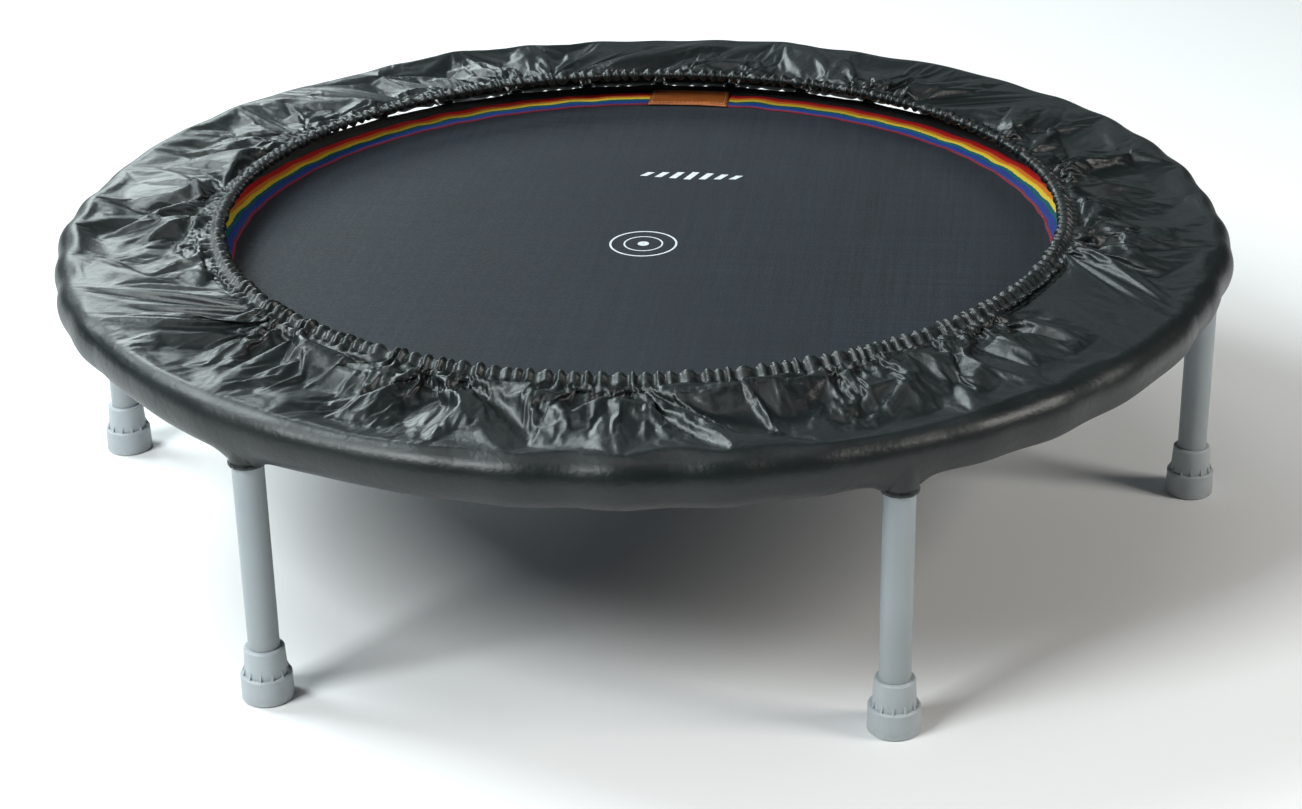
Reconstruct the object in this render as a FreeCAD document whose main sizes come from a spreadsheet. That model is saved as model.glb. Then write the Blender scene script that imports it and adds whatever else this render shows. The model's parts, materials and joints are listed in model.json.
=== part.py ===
import FreeCAD, Part
import os
import Sketcher

# Mini trampoline: a steel ring on six screw-in legs, a woven mat hung in it by thirty-six
# extension springs, and a gathered cover over the springs.
# Millimetres, +Z up. The origin is on the floor, at the middle of the ring.

SIZES = [
    ("ring_radius", 493.0, "centre line of the frame tube"),
    ("ring_height", 238.0, "centre line of the frame tube above the floor"),
    ("ring_tube", 28.0, "frame tube, outside diameter"),
    ("ring_wall", 2.0, "frame tube wall"),
    ("leg_tube", 25.0, "leg tube, outside diameter"),
    ("leg_wall", 1.5, "leg tube wall"),
    ("socket_length", 17.0, "weld socket below the frame tube"),
    ("socket_mouth", 1.0, "countersink at the socket's mouth"),
    ("stud_thread", 12.0, "screw on the leg's top, diameter over its thread"),
    ("stud_reach", 11.5, "screw length held in the socket"),
    ("stud_end_gap", 1.5, "room above the screw's end in the socket"),
    ("plug_length", 20.0, "part of the stud pressed in the leg tube"),
    ("thread_clearance", 0.05, "screw in socket, on the radius"),
    ("washer_thick", 1.5, "washer between leg and socket"),
    ("washer_rim", 0.5, "washer stands in from the leg's edge"),
    ("cap_floor", 8.0, "foot cap's floor under the leg tube"),
    ("cap_shell", 7.9, "foot cap's wall under its step"),
    ("cap_flare", 0.4, "foot cap wider at the floor than under its step, on the radius"),
    ("cap_step", 22.5, "height of the foot cap's step"),
    ("cap_collar", 3.6, "foot cap's collar, wall at its top"),
    ("cap_draft", 1.1, "foot cap's collar, thicker at its step by"),
    ("cap_height", 45.5, "foot cap's whole height"),
    ("cap_chamfer", 1.2, "foot cap's edges"),
    ("cap_rib_height", 5.5, "ribs on the foot cap's step"),
    ("cap_rib_width", 1.6, "ribs on the foot cap's step"),
    ("cap_play", 0.05, "foot cap's bore round the leg tube, on the radius"),
    ("mat_drop", 8.0, "middle of the mat below the frame tube's centre line"),
    ("mat_gap", 71.0, "from the mat's edge to the frame tube's centre line"),
    ("mat_thick", 1.2, "woven mat"),
    ("hem_width", 27.0, "hem band, in from the mat's edge"),
    ("hem_thick", 1.2, "hem band, one layer"),
    ("tape_width", 36.0, "striped tape, in from the hem band"),
    ("tape_thick", 1.0, "striped tape"),
    ("patch_inner_lap", 4.0, "leather patch, past the tape's inner edge"),
    ("patch_outer_lap", 5.0, "leather patch, over the hem band"),
    ("patch_length", 80.0, "leather patch, along the tape"),
    ("patch_thick", 1.8, "leather patch"),
    ("link_stand", 5.0, "inner bar of a mat link, out from the mat's edge"),
    ("link_corner", 2.0, "mat link, bend at each end of its bar"),
    ("link_side", 1.0, "mat link, straight side"),
    ("link_width", 14.0, "mat link, across"),
    ("link_wire", 2.5, "mat link wire"),
    ("tab_width", 9.0, "webbing tab"),
    ("tab_tail", 23.0, "webbing tab under the hem"),
    ("tab_thick", 1.1, "webbing tab"),
    ("spring_coil", 9.0, "spring, mean coil diameter"),
    ("spring_wire", 1.8, "spring wire"),
    ("spring_eye", 7.2, "spring's end loop, mean diameter"),
    ("link_gap", 0.2, "between a spring's loop and what it pulls on"),
    ("eye_loop", 8.0, "frame eye, mean diameter"),
    ("eye_wire", 3.5, "frame eye wire"),
    ("eye_stand", 4.0, "frame eye's bar, in from the tube's side"),
    ("cover_lap", 53.0, "middle of the cover's inner hem, in from the mat's edge"),
    ("cover_gap", 0.5, "cover clear of the frame tube's outer side"),
    ("cover_shoulder", 7.0, "cover's shoulder, in from its widest"),
    ("cover_side", 14.0, "upright part of the cover's side"),
    ("cover_rise", 2.5, "cover clear of the frame tube's top at the shoulder"),
    ("cover_crown", 6.5, "cover clear of the frame tube's top height over the springs"),
    ("cover_drop", 5.5, "cover clear of the frame tube's underside"),
    ("cover_thick", 2.5, "cover, gathered"),
    ("cover_tuck", 22.0, "middle of the cover's lower hem, in from the tube's centre line"),
    ("elastic_width", 4.0, "inner elastic, diameter"),
    ("draw_width", 3.0, "lower draw elastic, diameter"),
    ("channel_play", 0.3, "elastic in its channel, on the radius"),
    ("leg_hole_play", 1.0, "cover's leg hole round the socket, on the radius"),
    ("sleeve_length", 10.0, "fabric sleeve at a leg's top"),
    ("sleeve_thick", 2.2, "fabric sleeve at its lower edge"),
    ("sleeve_flare", 2.0, "fabric sleeve, wider at its top by"),
]
LEGS = 6
SPRINGS_PER_LEG = 6
CAP_RIBS = 12

# Heights and radii that follow from the sizes above.
RING_R = "sizes.ring_tube / 2"
SOCKET_BOTTOM = "(sizes.ring_height - sizes.ring_tube / 2 - sizes.socket_length)"
LEG_TOP = "(sizes.ring_height - sizes.ring_tube / 2 - sizes.socket_length - sizes.washer_thick)"
STUD_END = "(" + SOCKET_BOTTOM + " + sizes.stud_reach)"
LEG_BORE = "(sizes.leg_tube / 2 - sizes.leg_wall)"
MAT_HEIGHT = "(sizes.ring_height - sizes.mat_drop)"
MAT_RADIUS = "(sizes.ring_radius - sizes.mat_gap)"
MAT_TOP = "(" + MAT_HEIGHT + " + sizes.mat_thick / 2)"
MAT_UNDER = "(" + MAT_HEIGHT + " - sizes.mat_thick / 2)"
HEM_TOP = "(" + MAT_TOP + " + sizes.hem_thick)"
HEM_UNDER = "(" + MAT_UNDER + " - sizes.hem_thick)"
HEM_INNER = "(" + MAT_RADIUS + " - sizes.hem_width)"
HEM_EDGE = "(" + MAT_RADIUS + " + sizes.hem_thick)"
TAPE_INNER = "(" + HEM_INNER + " - sizes.tape_width)"
PATCH_INNER = "(" + TAPE_INNER + " - sizes.patch_inner_lap)"
PATCH_OUTER = "(" + HEM_INNER + " + sizes.patch_outer_lap)"
LINK_BAR = "(" + MAT_RADIUS + " + sizes.link_stand)"
COVER_TOP = "(sizes.ring_height + sizes.ring_tube / 2 + sizes.cover_rise + sizes.cover_thick)"
COVER_CROWN = "(sizes.ring_height + sizes.ring_tube / 2 + sizes.cover_crown + sizes.cover_thick)"
COVER_UNDER = "(sizes.ring_height - sizes.ring_tube / 2 - sizes.cover_drop - sizes.cover_thick)"
COVER_INNER = "(" + MAT_RADIUS + " - sizes.cover_lap)"
COVER_OUTER = "(sizes.ring_radius + sizes.ring_tube / 2 + sizes.cover_gap + sizes.cover_thick)"
COVER_TUCK = "(sizes.ring_radius - sizes.cover_tuck)"
CAP_WAIST = "(sizes.leg_tube / 2 + sizes.cap_shell)"
CAP_BASE = "(" + CAP_WAIST + " + sizes.cap_flare)"
CAP_COLLAR = "(sizes.leg_tube / 2 + sizes.cap_collar)"
CAP_COLLAR_FOOT = "(" + CAP_COLLAR + " + sizes.cap_draft)"

doc = FreeCAD.newDocument("mini_trampoline")
sheet = doc.addObject("Spreadsheet::Sheet", "sizes")
for row, (alias, number, note) in enumerate(SIZES, start=1):
    sheet.set("A%d" % row, alias)
    sheet.set("B%d" % row, str(number))
    sheet.set("C%d" % row, note)
    sheet.setAlias("B%d" % row, alias)
doc.recompute()

parts = {}


def value(expression):
    """The number that an expression of the sheet's cells gives."""
    return float(sheet.evalExpression(expression))


def keep(node, shape_object):
    """Name a finished sub-part; its label is its file's name."""
    shape_object.Label = node
    parts[node] = shape_object
    return shape_object


def stand_at(shape_object, leg):
    """Put a leg's piece under the ring, turned to face outward."""
    turn = 360.0 / LEGS * leg
    shape_object.Placement = FreeCAD.Placement(
        FreeCAD.Vector(), FreeCAD.Rotation(FreeCAD.Vector(0, 0, 1), turn)
    )
    shape_object.setExpression("Placement.Base.x", "sizes.ring_radius * cos(%g deg)" % turn)
    shape_object.setExpression("Placement.Base.y", "sizes.ring_radius * sin(%g deg)" % turn)


def origin_plane(body, role):
    """One of a body's own origin planes."""
    return [f for f in body.Origin.OriginFeatures if f.Role == role][0]


def new_sketch(body, plane="XZ_Plane"):
    """An empty sketch on one of the body's own planes."""
    sketch = body.newObject("Sketcher::SketchObject", body.Name + "_sketch")
    sketch.AttachmentSupport = [(origin_plane(body, plane), "")]
    sketch.MapMode = "FlatFace"
    return sketch


def pin_point(sketch, line, end, across, up):
    """Hold one end of a line at a place given by two expressions."""
    for kind, expression in (("DistanceX", across), ("DistanceY", up)):
        number = value(expression)
        index = sketch.addConstraint(
            Sketcher.Constraint(kind, -1, 1, line, end, number)
        )
        sketch.setExpression("Constraints[%d]" % index, expression)


def outline(sketch, corners):
    """A closed outline of straight lines; each corner is two expressions."""
    places = [FreeCAD.Vector(value(a), value(b), 0) for a, b in corners]
    count = len(corners)
    first = sketch.GeometryCount
    for i in range(count):
        sketch.addGeometry(Part.LineSegment(places[i], places[(i + 1) % count]), False)
    for i in range(count):
        here = first + i
        there = first + (i + 1) % count
        sketch.addConstraint(Sketcher.Constraint("Coincident", here, 2, there, 1))
    for i, (across, up) in enumerate(corners):
        pin_point(sketch, first + i, 1, across, up)


def round_hole(sketch, across, up, radius):
    """A circle whose centre and radius are expressions."""
    centre = FreeCAD.Vector(value(across), value(up), 0)
    circle = Part.Circle(centre, FreeCAD.Vector(0, 0, 1), value(radius))
    index = sketch.addGeometry(circle, False)
    pin_point(sketch, index, 3, across, up)
    size = sketch.addConstraint(Sketcher.Constraint("Radius", index, value(radius)))
    sketch.setExpression("Constraints[%d]" % size, radius)


def revolve(body, sketch):
    """Turn a sketch a full turn about the body's own Z axis."""
    feature = body.newObject("PartDesign::Revolution", body.Name + "_turned")
    feature.Profile = sketch
    feature.ReferenceAxis = (sketch, ["V_Axis"])
    feature.Angle = 360.0
    sketch.Visibility = False
    return feature


def turned_piece(node, corners):
    """A body of revolution from one closed outline of straight lines."""
    body = doc.addObject("PartDesign::Body", node + "_body")
    sketch = new_sketch(body)
    outline(sketch, corners)
    revolve(body, sketch)
    return keep(node, body)


def ringed_copies(node, unit, count, start_deg, step_deg):
    """Separate copies of one finished solid, set round the ring's axis."""
    group = doc.addObject("Part::Feature", node)
    solids = []
    for i in range(count):
        solid = unit.Shape.copy()
        turn = start_deg + step_deg * i
        solid.rotate(FreeCAD.Vector(), FreeCAD.Vector(0, 0, 1), turn)
        solids.append(solid)
    group.Shape = Part.makeCompound(solids)
    return keep(node, group)


def primitive(kind, name, bindings, turn=None):
    """A Part primitive whose properties are bound to expressions."""
    solid = doc.addObject(kind, name)
    if turn:
        axis, degrees = turn
        solid.Placement = FreeCAD.Placement(
            FreeCAD.Vector(), FreeCAD.Rotation(FreeCAD.Vector(*axis), degrees)
        )
    for key, expression in bindings.items():
        solid.setExpression(key, expression)
    return solid


def cut(name, base, tool):
    """The base solid with the tool taken out of it."""
    result = doc.addObject("Part::Cut", name)
    result.Base = base
    result.Tool = tool
    return result


def fuse(name, solids):
    """Several solids joined in one."""
    result = doc.addObject("Part::MultiFuse", name)
    result.Shapes = solids
    return result


def frame_ring():
    """The bent and butt-welded frame tube."""
    body = doc.addObject("PartDesign::Body", "frame_ring_body")
    sketch = new_sketch(body)
    round_hole(sketch, "sizes.ring_radius", "sizes.ring_height", RING_R)
    round_hole(sketch, "sizes.ring_radius", "sizes.ring_height", RING_R + " - sizes.ring_wall")
    revolve(body, sketch)
    return keep("frame_ring", body)


def ring_solid(name):
    """The frame tube's outside as a full solid, to fit welded pieces to."""
    return primitive(
        "Part::Torus",
        name,
        {
            "Radius1": "sizes.ring_radius",
            "Radius2": RING_R,
            "Placement.Base.z": "sizes.ring_height",
        },
    )


def leg_socket(leg):
    """A weld socket with a blind threaded bore, its top cut to fit the frame tube."""
    name = "socket_%d" % leg
    bar = primitive(
        "Part::Cylinder",
        name + "_bar",
        {"Radius": "sizes.leg_tube / 2", "Height": "sizes.socket_length + sizes.ring_tube / 4"},
    )
    stand_at(bar, leg)
    bar.setExpression("Placement.Base.z", SOCKET_BOTTOM)
    bore = primitive(
        "Part::Cylinder",
        name + "_bore",
        {
            "Radius": "sizes.stud_thread / 2 + sizes.thread_clearance",
            "Height": "sizes.stud_reach + sizes.stud_end_gap",
        },
    )
    stand_at(bore, leg)
    bore.setExpression("Placement.Base.z", SOCKET_BOTTOM)
    mouth = primitive(
        "Part::Cone",
        name + "_mouth",
        {
            "Radius1": "sizes.stud_thread / 2 + sizes.thread_clearance + sizes.socket_mouth",
            "Radius2": "sizes.stud_thread / 2 + sizes.thread_clearance",
            "Height": "sizes.socket_mouth",
        },
    )
    stand_at(mouth, leg)
    mouth.setExpression("Placement.Base.z", SOCKET_BOTTOM)
    bored = cut(name + "_bored", bar, fuse(name + "_hollow", [bore, mouth]))
    return keep("leg_socket_%d" % (leg + 1), cut(name, bored, ring_solid(name + "_ring")))


def frame_eyes():
    """Wire eyes welded round the inside of the frame tube."""
    loop = primitive(
        "Part::Torus",
        "eye_loop_wire",
        {
            "Radius1": "sizes.eye_loop / 2",
            "Radius2": "sizes.eye_wire / 2",
            "Placement.Base.x": EYE_BAR + " + sizes.eye_loop / 2",
            "Placement.Base.z": MAT_HEIGHT,
        },
    )
    eye = cut("frame_eye_unit", loop, ring_solid("eye_ring"))
    doc.recompute()
    return ringed_copies("frame_eyes", eye, LEGS * SPRINGS_PER_LEG, FIRST_SPRING, SPRING_STEP)


def springs():
    """Extension springs in their outer shape: a barrel and an end loop at each end."""
    inner_end = INNER_LOOP + " + sizes.spring_eye / 2"
    outer_end = OUTER_LOOP + " - sizes.spring_eye / 2"
    lying = ((0, 1, 0), 90)
    barrel = primitive(
        "Part::Cylinder",
        "spring_barrel",
        {
            "Radius": "(sizes.spring_coil + sizes.spring_wire) / 2",
            "Height": "(" + outer_end + ") - (" + inner_end + ")",
            "Placement.Base.x": inner_end,
            "Placement.Base.z": MAT_HEIGHT,
        },
        lying,
    )
    hollow = primitive(
        "Part::Cylinder",
        "spring_hollow",
        {
            "Radius": "(sizes.spring_coil - sizes.spring_wire) / 2",
            "Height": "(" + outer_end + ") - (" + inner_end + ") - 2 * sizes.spring_wire",
            "Placement.Base.x": inner_end + " + sizes.spring_wire",
            "Placement.Base.z": MAT_HEIGHT,
        },
        lying,
    )
    loops = []
    for name, centre in (("spring_inner_loop", INNER_LOOP), ("spring_outer_loop", OUTER_LOOP)):
        loops.append(
            primitive(
                "Part::Torus",
                name,
                {
                    "Radius1": "sizes.spring_eye / 2",
                    "Radius2": "sizes.spring_wire / 2",
                    "Placement.Base.x": centre,
                    "Placement.Base.z": MAT_HEIGHT,
                },
                ((1, 0, 0), 90),
            )
        )
    unit = fuse("spring_unit", [cut("spring_coils", barrel, hollow)] + loops)
    doc.recompute()
    for sector in range(LEGS):
        start = FIRST_SPRING + 360.0 / LEGS * sector
        ringed_copies("springs_%d" % (sector + 1), unit, SPRINGS_PER_LEG, start, SPRING_STEP)


def mat_links():
    """Wire links, each a flat D, that the springs pull on."""
    bar = value(LINK_BAR)
    half = value("sizes.link_width / 2")
    corner = value("sizes.link_corner")
    side = value("sizes.link_side")
    wire = value("sizes.link_wire / 2")
    height = value(MAT_HEIGHT)
    up = FreeCAD.Vector(0, 0, 1)

    def bend(radius, across, along, start, sweep):
        """A piece of round wire bent to part of a circle, flat on the mat's plane."""
        centre = FreeCAD.Vector(across, along, height)
        piece = Part.makeTorus(radius, wire, FreeCAD.Vector(), up, 0, 360, sweep)
        piece.rotate(FreeCAD.Vector(), up, start)
        piece.translate(centre)
        return piece

    def straight(across, along, length, direction):
        """A straight piece of round wire."""
        foot = FreeCAD.Vector(across, along, height)
        return Part.makeCylinder(wire, length, foot, FreeCAD.Vector(*direction))

    pieces = [
        straight(bar, corner - half, 2 * (half - corner), (0, 1, 0)),
        bend(corner, bar + corner, half - corner, 90, 90),
        straight(bar + corner, half, side, (1, 0, 0)),
        bend(half, bar + corner + side, 0, -90, 180),
        straight(bar + corner, -half, side, (1, 0, 0)),
        bend(corner, bar + corner, corner - half, 180, 90),
    ]
    unit = doc.addObject("Part::Feature", "mat_link_unit")
    unit.Shape = pieces[0].fuse(pieces[1:])
    return ringed_copies("mat_links", unit, LEGS * SPRINGS_PER_LEG, FIRST_SPRING, SPRING_STEP)


def webbing_tabs():
    """Webbing tabs sewn under the hem, each folded round the bar of its link."""
    eye = "(sizes.link_wire / 2 + sizes.channel_play)"
    across = ((1, 0, 0), 90)
    loop = primitive(
        "Part::Cylinder",
        "tab_loop",
        {
            "Radius": eye + " + sizes.tab_thick",
            "Height": "sizes.tab_width",
            "Placement.Base.x": LINK_BAR,
            "Placement.Base.y": "sizes.tab_width / 2",
            "Placement.Base.z": MAT_HEIGHT,
        },
        across,
    )
    bore = primitive(
        "Part::Cylinder",
        "tab_bore",
        {
            "Radius": eye,
            "Height": "sizes.tab_width * 2",
            "Placement.Base.x": LINK_BAR,
            "Placement.Base.y": "sizes.tab_width",
            "Placement.Base.z": MAT_HEIGHT,
        },
        across,
    )
    tail = primitive(
        "Part::Box",
        "tab_tail",
        {
            "Length": "sizes.tab_tail",
            "Width": "sizes.tab_width",
            "Height": "sizes.tab_thick",
            "Placement.Base.x": LINK_BAR + " - sizes.tab_tail",
            "Placement.Base.y": "-sizes.tab_width / 2",
            "Placement.Base.z": HEM_UNDER + " - sizes.tab_thick",
        },
    )
    unit = cut("tab_unit", fuse("tab_folded", [loop, tail]), bore)
    doc.recompute()
    return ringed_copies("webbing_tabs", unit, LEGS * SPRINGS_PER_LEG, FIRST_SPRING, SPRING_STEP)


def leather_patch():
    """The patch over the tape's joint: a piece of the ring, centred on +Y."""
    body = doc.addObject("PartDesign::Body", "leather_patch_body")
    sketch = new_sketch(body, "XY_Plane")
    half = "sizes.patch_length / 2"
    inner = "sqrt(" + PATCH_INNER + " ^ 2 - (" + half + ") ^ 2)"
    outer = "sqrt(" + PATCH_OUTER + " ^ 2 - (" + half + ") ^ 2)"
    outline(
        sketch,
        [
            ("-" + half, inner),
            (half, inner),
            (half, outer),
            ("-" + half, outer),
        ],
    )
    pad = body.newObject("PartDesign::Pad", "leather_patch_pad")
    pad.Profile = sketch
    pad.setExpression("Length", "sizes.patch_thick")
    body.setExpression("Placement.Base.z", "max(" + HEM_TOP + "; " + TAPE_TOP + ")")
    return keep("leather_patch", body)


def cover_skin():
    """The gathered cover: over the springs, round the tube and under it to its lower hem."""
    body = doc.addObject("PartDesign::Body", "cover_skin_body")
    sketch = new_sketch(body)
    shoulder = "(" + COVER_OUTER + " - sizes.cover_shoulder)"
    thick = "sizes.cover_thick"
    side_top = "sizes.ring_height + sizes.cover_side / 2"
    side_foot = "sizes.ring_height - sizes.cover_side / 2"
    outline(
        sketch,
        [
            (COVER_INNER, COVER_CROWN),
            ("(" + COVER_INNER + " + sizes.ring_radius) / 2", COVER_CROWN),
            (shoulder, COVER_TOP),
            (COVER_OUTER, side_top),
            (COVER_OUTER, side_foot),
            (shoulder, COVER_UNDER),
            (COVER_TUCK, COVER_UNDER),
            (COVER_TUCK, COVER_UNDER + " + " + thick),
            (shoulder + " - " + thick, COVER_UNDER + " + " + thick),
            (COVER_OUTER + " - " + thick, side_foot),
            (COVER_OUTER + " - " + thick, side_top),
            (shoulder + " - " + thick, COVER_TOP + " - " + thick),
            ("(" + COVER_INNER + " + sizes.ring_radius) / 2", COVER_CROWN + " - " + thick),
            (COVER_INNER, COVER_CROWN + " - " + thick),
        ],
    )
    revolve(body, sketch)
    hems = []
    channels = []
    for name, radius, height, cord in HEMS:
        hems.append(
            primitive(
                "Part::Torus",
                name + "_hem",
                {
                    "Radius1": radius,
                    "Radius2": cord + " / 2 + sizes.channel_play + sizes.cover_thick / 2",
                    "Placement.Base.z": height,
                },
            )
        )
        channels.append(
            primitive(
                "Part::Torus",
                name + "_channel",
                {
                    "Radius1": radius,
                    "Radius2": cord + " / 2 + sizes.channel_play",
                    "Placement.Base.z": height,
                },
            )
        )
    holes = []
    for leg in range(LEGS):
        hole = primitive(
            "Part::Cylinder",
            "cover_leg_hole_%d" % leg,
            {
                "Radius": "sizes.leg_tube / 2 + sizes.leg_hole_play",
                "Height": "sizes.ring_height - " + COVER_UNDER + " + sizes.sleeve_length",
            },
        )
        stand_at(hole, leg)
        hole.setExpression("Placement.Base.z", COVER_UNDER + " - sizes.sleeve_length")
        holes.append(hole)
    whole = fuse("cover_whole", [body] + hems)
    opened = fuse("cover_openings", channels + holes)
    return keep("cover_skin", cut("cover_cut", whole, opened))


def cover_elastics():
    """The two elastics that gather the cover's hems."""
    for name, radius, height, cord in HEMS:
        ring = primitive(
            "Part::Torus",
            name + "_cord",
            {"Radius1": radius, "Radius2": cord + " / 2", "Placement.Base.z": height},
        )
        keep(name, ring)


def leg_sleeves():
    """The short fabric sleeves that close the cover round each leg's top."""
    hole = value("sizes.leg_tube / 2 + sizes.leg_hole_play")
    low = hole + value("sizes.sleeve_thick")
    high = low + value("sizes.sleeve_flare")
    length = value("sizes.sleeve_length")
    base = value(COVER_UNDER) - length
    radius = value("sizes.ring_radius")
    foot = FreeCAD.Vector(radius, 0, base)
    cone = Part.makeCone(low, high, length, foot)
    bore = Part.makeCylinder(hole, length, foot)
    unit = doc.addObject("Part::Feature", "leg_sleeve_unit")
    unit.Shape = cone.cut(bore)
    return ringed_copies("leg_sleeves", unit, LEGS, 0.0, 360.0 / LEGS)


def leg_tube(leg):
    """The leg's steel tube, from the foot cap's floor to the washer."""
    wall_in = LEG_BORE
    body = turned_piece(
        "leg_tube_%d" % (leg + 1),
        [
            (wall_in, "sizes.cap_floor"),
            ("sizes.leg_tube / 2", "sizes.cap_floor"),
            ("sizes.leg_tube / 2", LEG_TOP),
            (wall_in, LEG_TOP),
        ],
    )
    stand_at(body, leg)


def leg_stud(leg):
    """The turned plug in the tube's top with the screw that goes up in the socket."""
    screw = "sizes.stud_thread / 2"
    body = turned_piece(
        "leg_stud_%d" % (leg + 1),
        [
            ("0", LEG_TOP + " - sizes.plug_length"),
            (LEG_BORE, LEG_TOP + " - sizes.plug_length"),
            (LEG_BORE, LEG_TOP),
            (screw, LEG_TOP),
            (screw, STUD_END + " - sizes.socket_mouth"),
            (screw + " - sizes.socket_mouth", STUD_END),
            ("0", STUD_END),
        ],
    )
    stand_at(body, leg)


def leg_washer(leg):
    """The flat washer between the leg's top and its socket."""
    bore = "sizes.stud_thread / 2 + sizes.thread_clearance"
    rim = "sizes.leg_tube / 2 - sizes.washer_rim"
    body = turned_piece(
        "leg_washer_%d" % (leg + 1),
        [(bore, LEG_TOP), (rim, LEG_TOP), (rim, SOCKET_BOTTOM), (bore, SOCKET_BOTTOM)],
    )
    stand_at(body, leg)


def foot_cap(leg):
    """The stepped foot cap, ribbed on its step, with a blind bore for the tube."""
    node = "foot_cap_%d" % (leg + 1)
    body = doc.addObject("PartDesign::Body", node + "_body")
    sketch = new_sketch(body)
    bore = "sizes.leg_tube / 2 + sizes.cap_play"
    edge = "sizes.cap_chamfer"
    outline(
        sketch,
        [
            ("0", "0"),
            (CAP_BASE + " - " + edge, "0"),
            (CAP_BASE, edge),
            (CAP_WAIST, "sizes.cap_step - " + edge),
            (CAP_WAIST + " - " + edge, "sizes.cap_step"),
            (CAP_COLLAR_FOOT, "sizes.cap_step"),
            (CAP_COLLAR, "sizes.cap_height - " + edge),
            (CAP_COLLAR + " - " + edge, "sizes.cap_height"),
            (bore, "sizes.cap_height"),
            (bore, "sizes.cap_floor"),
            ("0", "sizes.cap_floor"),
        ],
    )
    revolve(body, sketch)
    rib = new_sketch(body)
    outline(
        rib,
        [
            (CAP_COLLAR + " - " + edge, "sizes.cap_step - " + edge),
            (CAP_WAIST + " - " + edge, "sizes.cap_step - " + edge),
            (CAP_WAIST + " - " + edge, "sizes.cap_step"),
            (CAP_COLLAR_FOOT, "sizes.cap_step + sizes.cap_rib_height"),
            (CAP_COLLAR + " - " + edge, "sizes.cap_step + sizes.cap_rib_height"),
        ],
    )
    pad = body.newObject("PartDesign::Pad", node + "_rib")
    pad.Profile = rib
    pad.Midplane = True
    pad.setExpression("Length", "sizes.cap_rib_width")
    ribs = body.newObject("PartDesign::PolarPattern", node + "_ribs")
    ribs.Originals = [pad]
    ribs.Axis = (origin_plane(body, "Z_Axis"), [""])
    ribs.Angle = 360.0
    ribs.Occurrences = CAP_RIBS
    body.Tip = ribs
    stand_at(body, leg)
    return keep(node, body)


# Places along a spring, as radii: the frame eye's bar, then the middles of the spring's loops.
SPRING_STEP = 360.0 / (LEGS * SPRINGS_PER_LEG)
FIRST_SPRING = SPRING_STEP / 2
TUBE_SIDE = (
    "(sizes.ring_radius - sqrt((sizes.ring_tube / 2) ^ 2"
    " - sizes.mat_drop ^ 2))"
)
EYE_BAR = "(" + TUBE_SIDE + " - sizes.eye_stand - sizes.eye_wire / 2)"
LOOP_BORE = "(sizes.spring_eye - sizes.spring_wire) / 2"
OUTER_LOOP = "(" + EYE_BAR + " - " + LOOP_BORE + " + sizes.eye_wire / 2 + sizes.link_gap)"
LINK_TIP = "(" + LINK_BAR + " + sizes.link_corner + sizes.link_side + sizes.link_width / 2)"
INNER_LOOP = "(" + LINK_TIP + " + " + LOOP_BORE + " - sizes.link_wire / 2 - sizes.link_gap)"
TAPE_TOP = "(" + MAT_TOP + " + sizes.tape_thick)"
HEMS = [
    (
        "cover_elastic",
        COVER_INNER,
        COVER_CROWN + " - sizes.cover_thick / 2",
        "sizes.elastic_width",
    ),
    (
        "cover_draw_elastic",
        COVER_TUCK,
        COVER_UNDER + " + sizes.cover_thick / 2",
        "sizes.draw_width",
    ),
]

frame_ring()
for leg in range(LEGS):
    leg_socket(leg)
frame_eyes()
springs()

turned_piece(
    "mat_fabric",
    [("0", MAT_UNDER), (MAT_RADIUS, MAT_UNDER), (MAT_RADIUS, MAT_TOP), ("0", MAT_TOP)],
)
turned_piece(
    "mat_hem",
    [
        (HEM_INNER, HEM_UNDER),
        (HEM_EDGE, HEM_UNDER),
        (HEM_EDGE, HEM_TOP),
        (HEM_INNER, HEM_TOP),
        (HEM_INNER, MAT_TOP),
        (MAT_RADIUS, MAT_TOP),
        (MAT_RADIUS, MAT_UNDER),
        (HEM_INNER, MAT_UNDER),
    ],
)
turned_piece(
    "striped_tape",
    [
        (TAPE_INNER, MAT_TOP),
        (HEM_INNER, MAT_TOP),
        (HEM_INNER, TAPE_TOP),
        (TAPE_INNER, TAPE_TOP),
    ],
)
leather_patch()
mat_links()
webbing_tabs()

cover_skin()
cover_elastics()
leg_sleeves()

for leg in range(LEGS):
    leg_tube(leg)
    leg_stud(leg)
    leg_washer(leg)
    foot_cap(leg)

doc.recompute()

for item in doc.Objects:
    if "Invalid" in item.State or "Error" in item.State:
        raise RuntimeError("%s failed: %s" % (item.Name, item.State))
for node, item in parts.items():
    if item.Shape.isNull() or not item.Shape.isValid() or item.Shape.Volume <= 0:
        raise RuntimeError("%s has no sound shape" % node)

os.makedirs("parts", exist_ok=True)
for node, item in parts.items():
    item.Shape.exportStep("parts/%s.step" % node)
print("%d sub-parts written" % len(parts))
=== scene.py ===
import json
import math

import bpy
import numpy as np
from mathutils import Matrix, Vector


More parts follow.
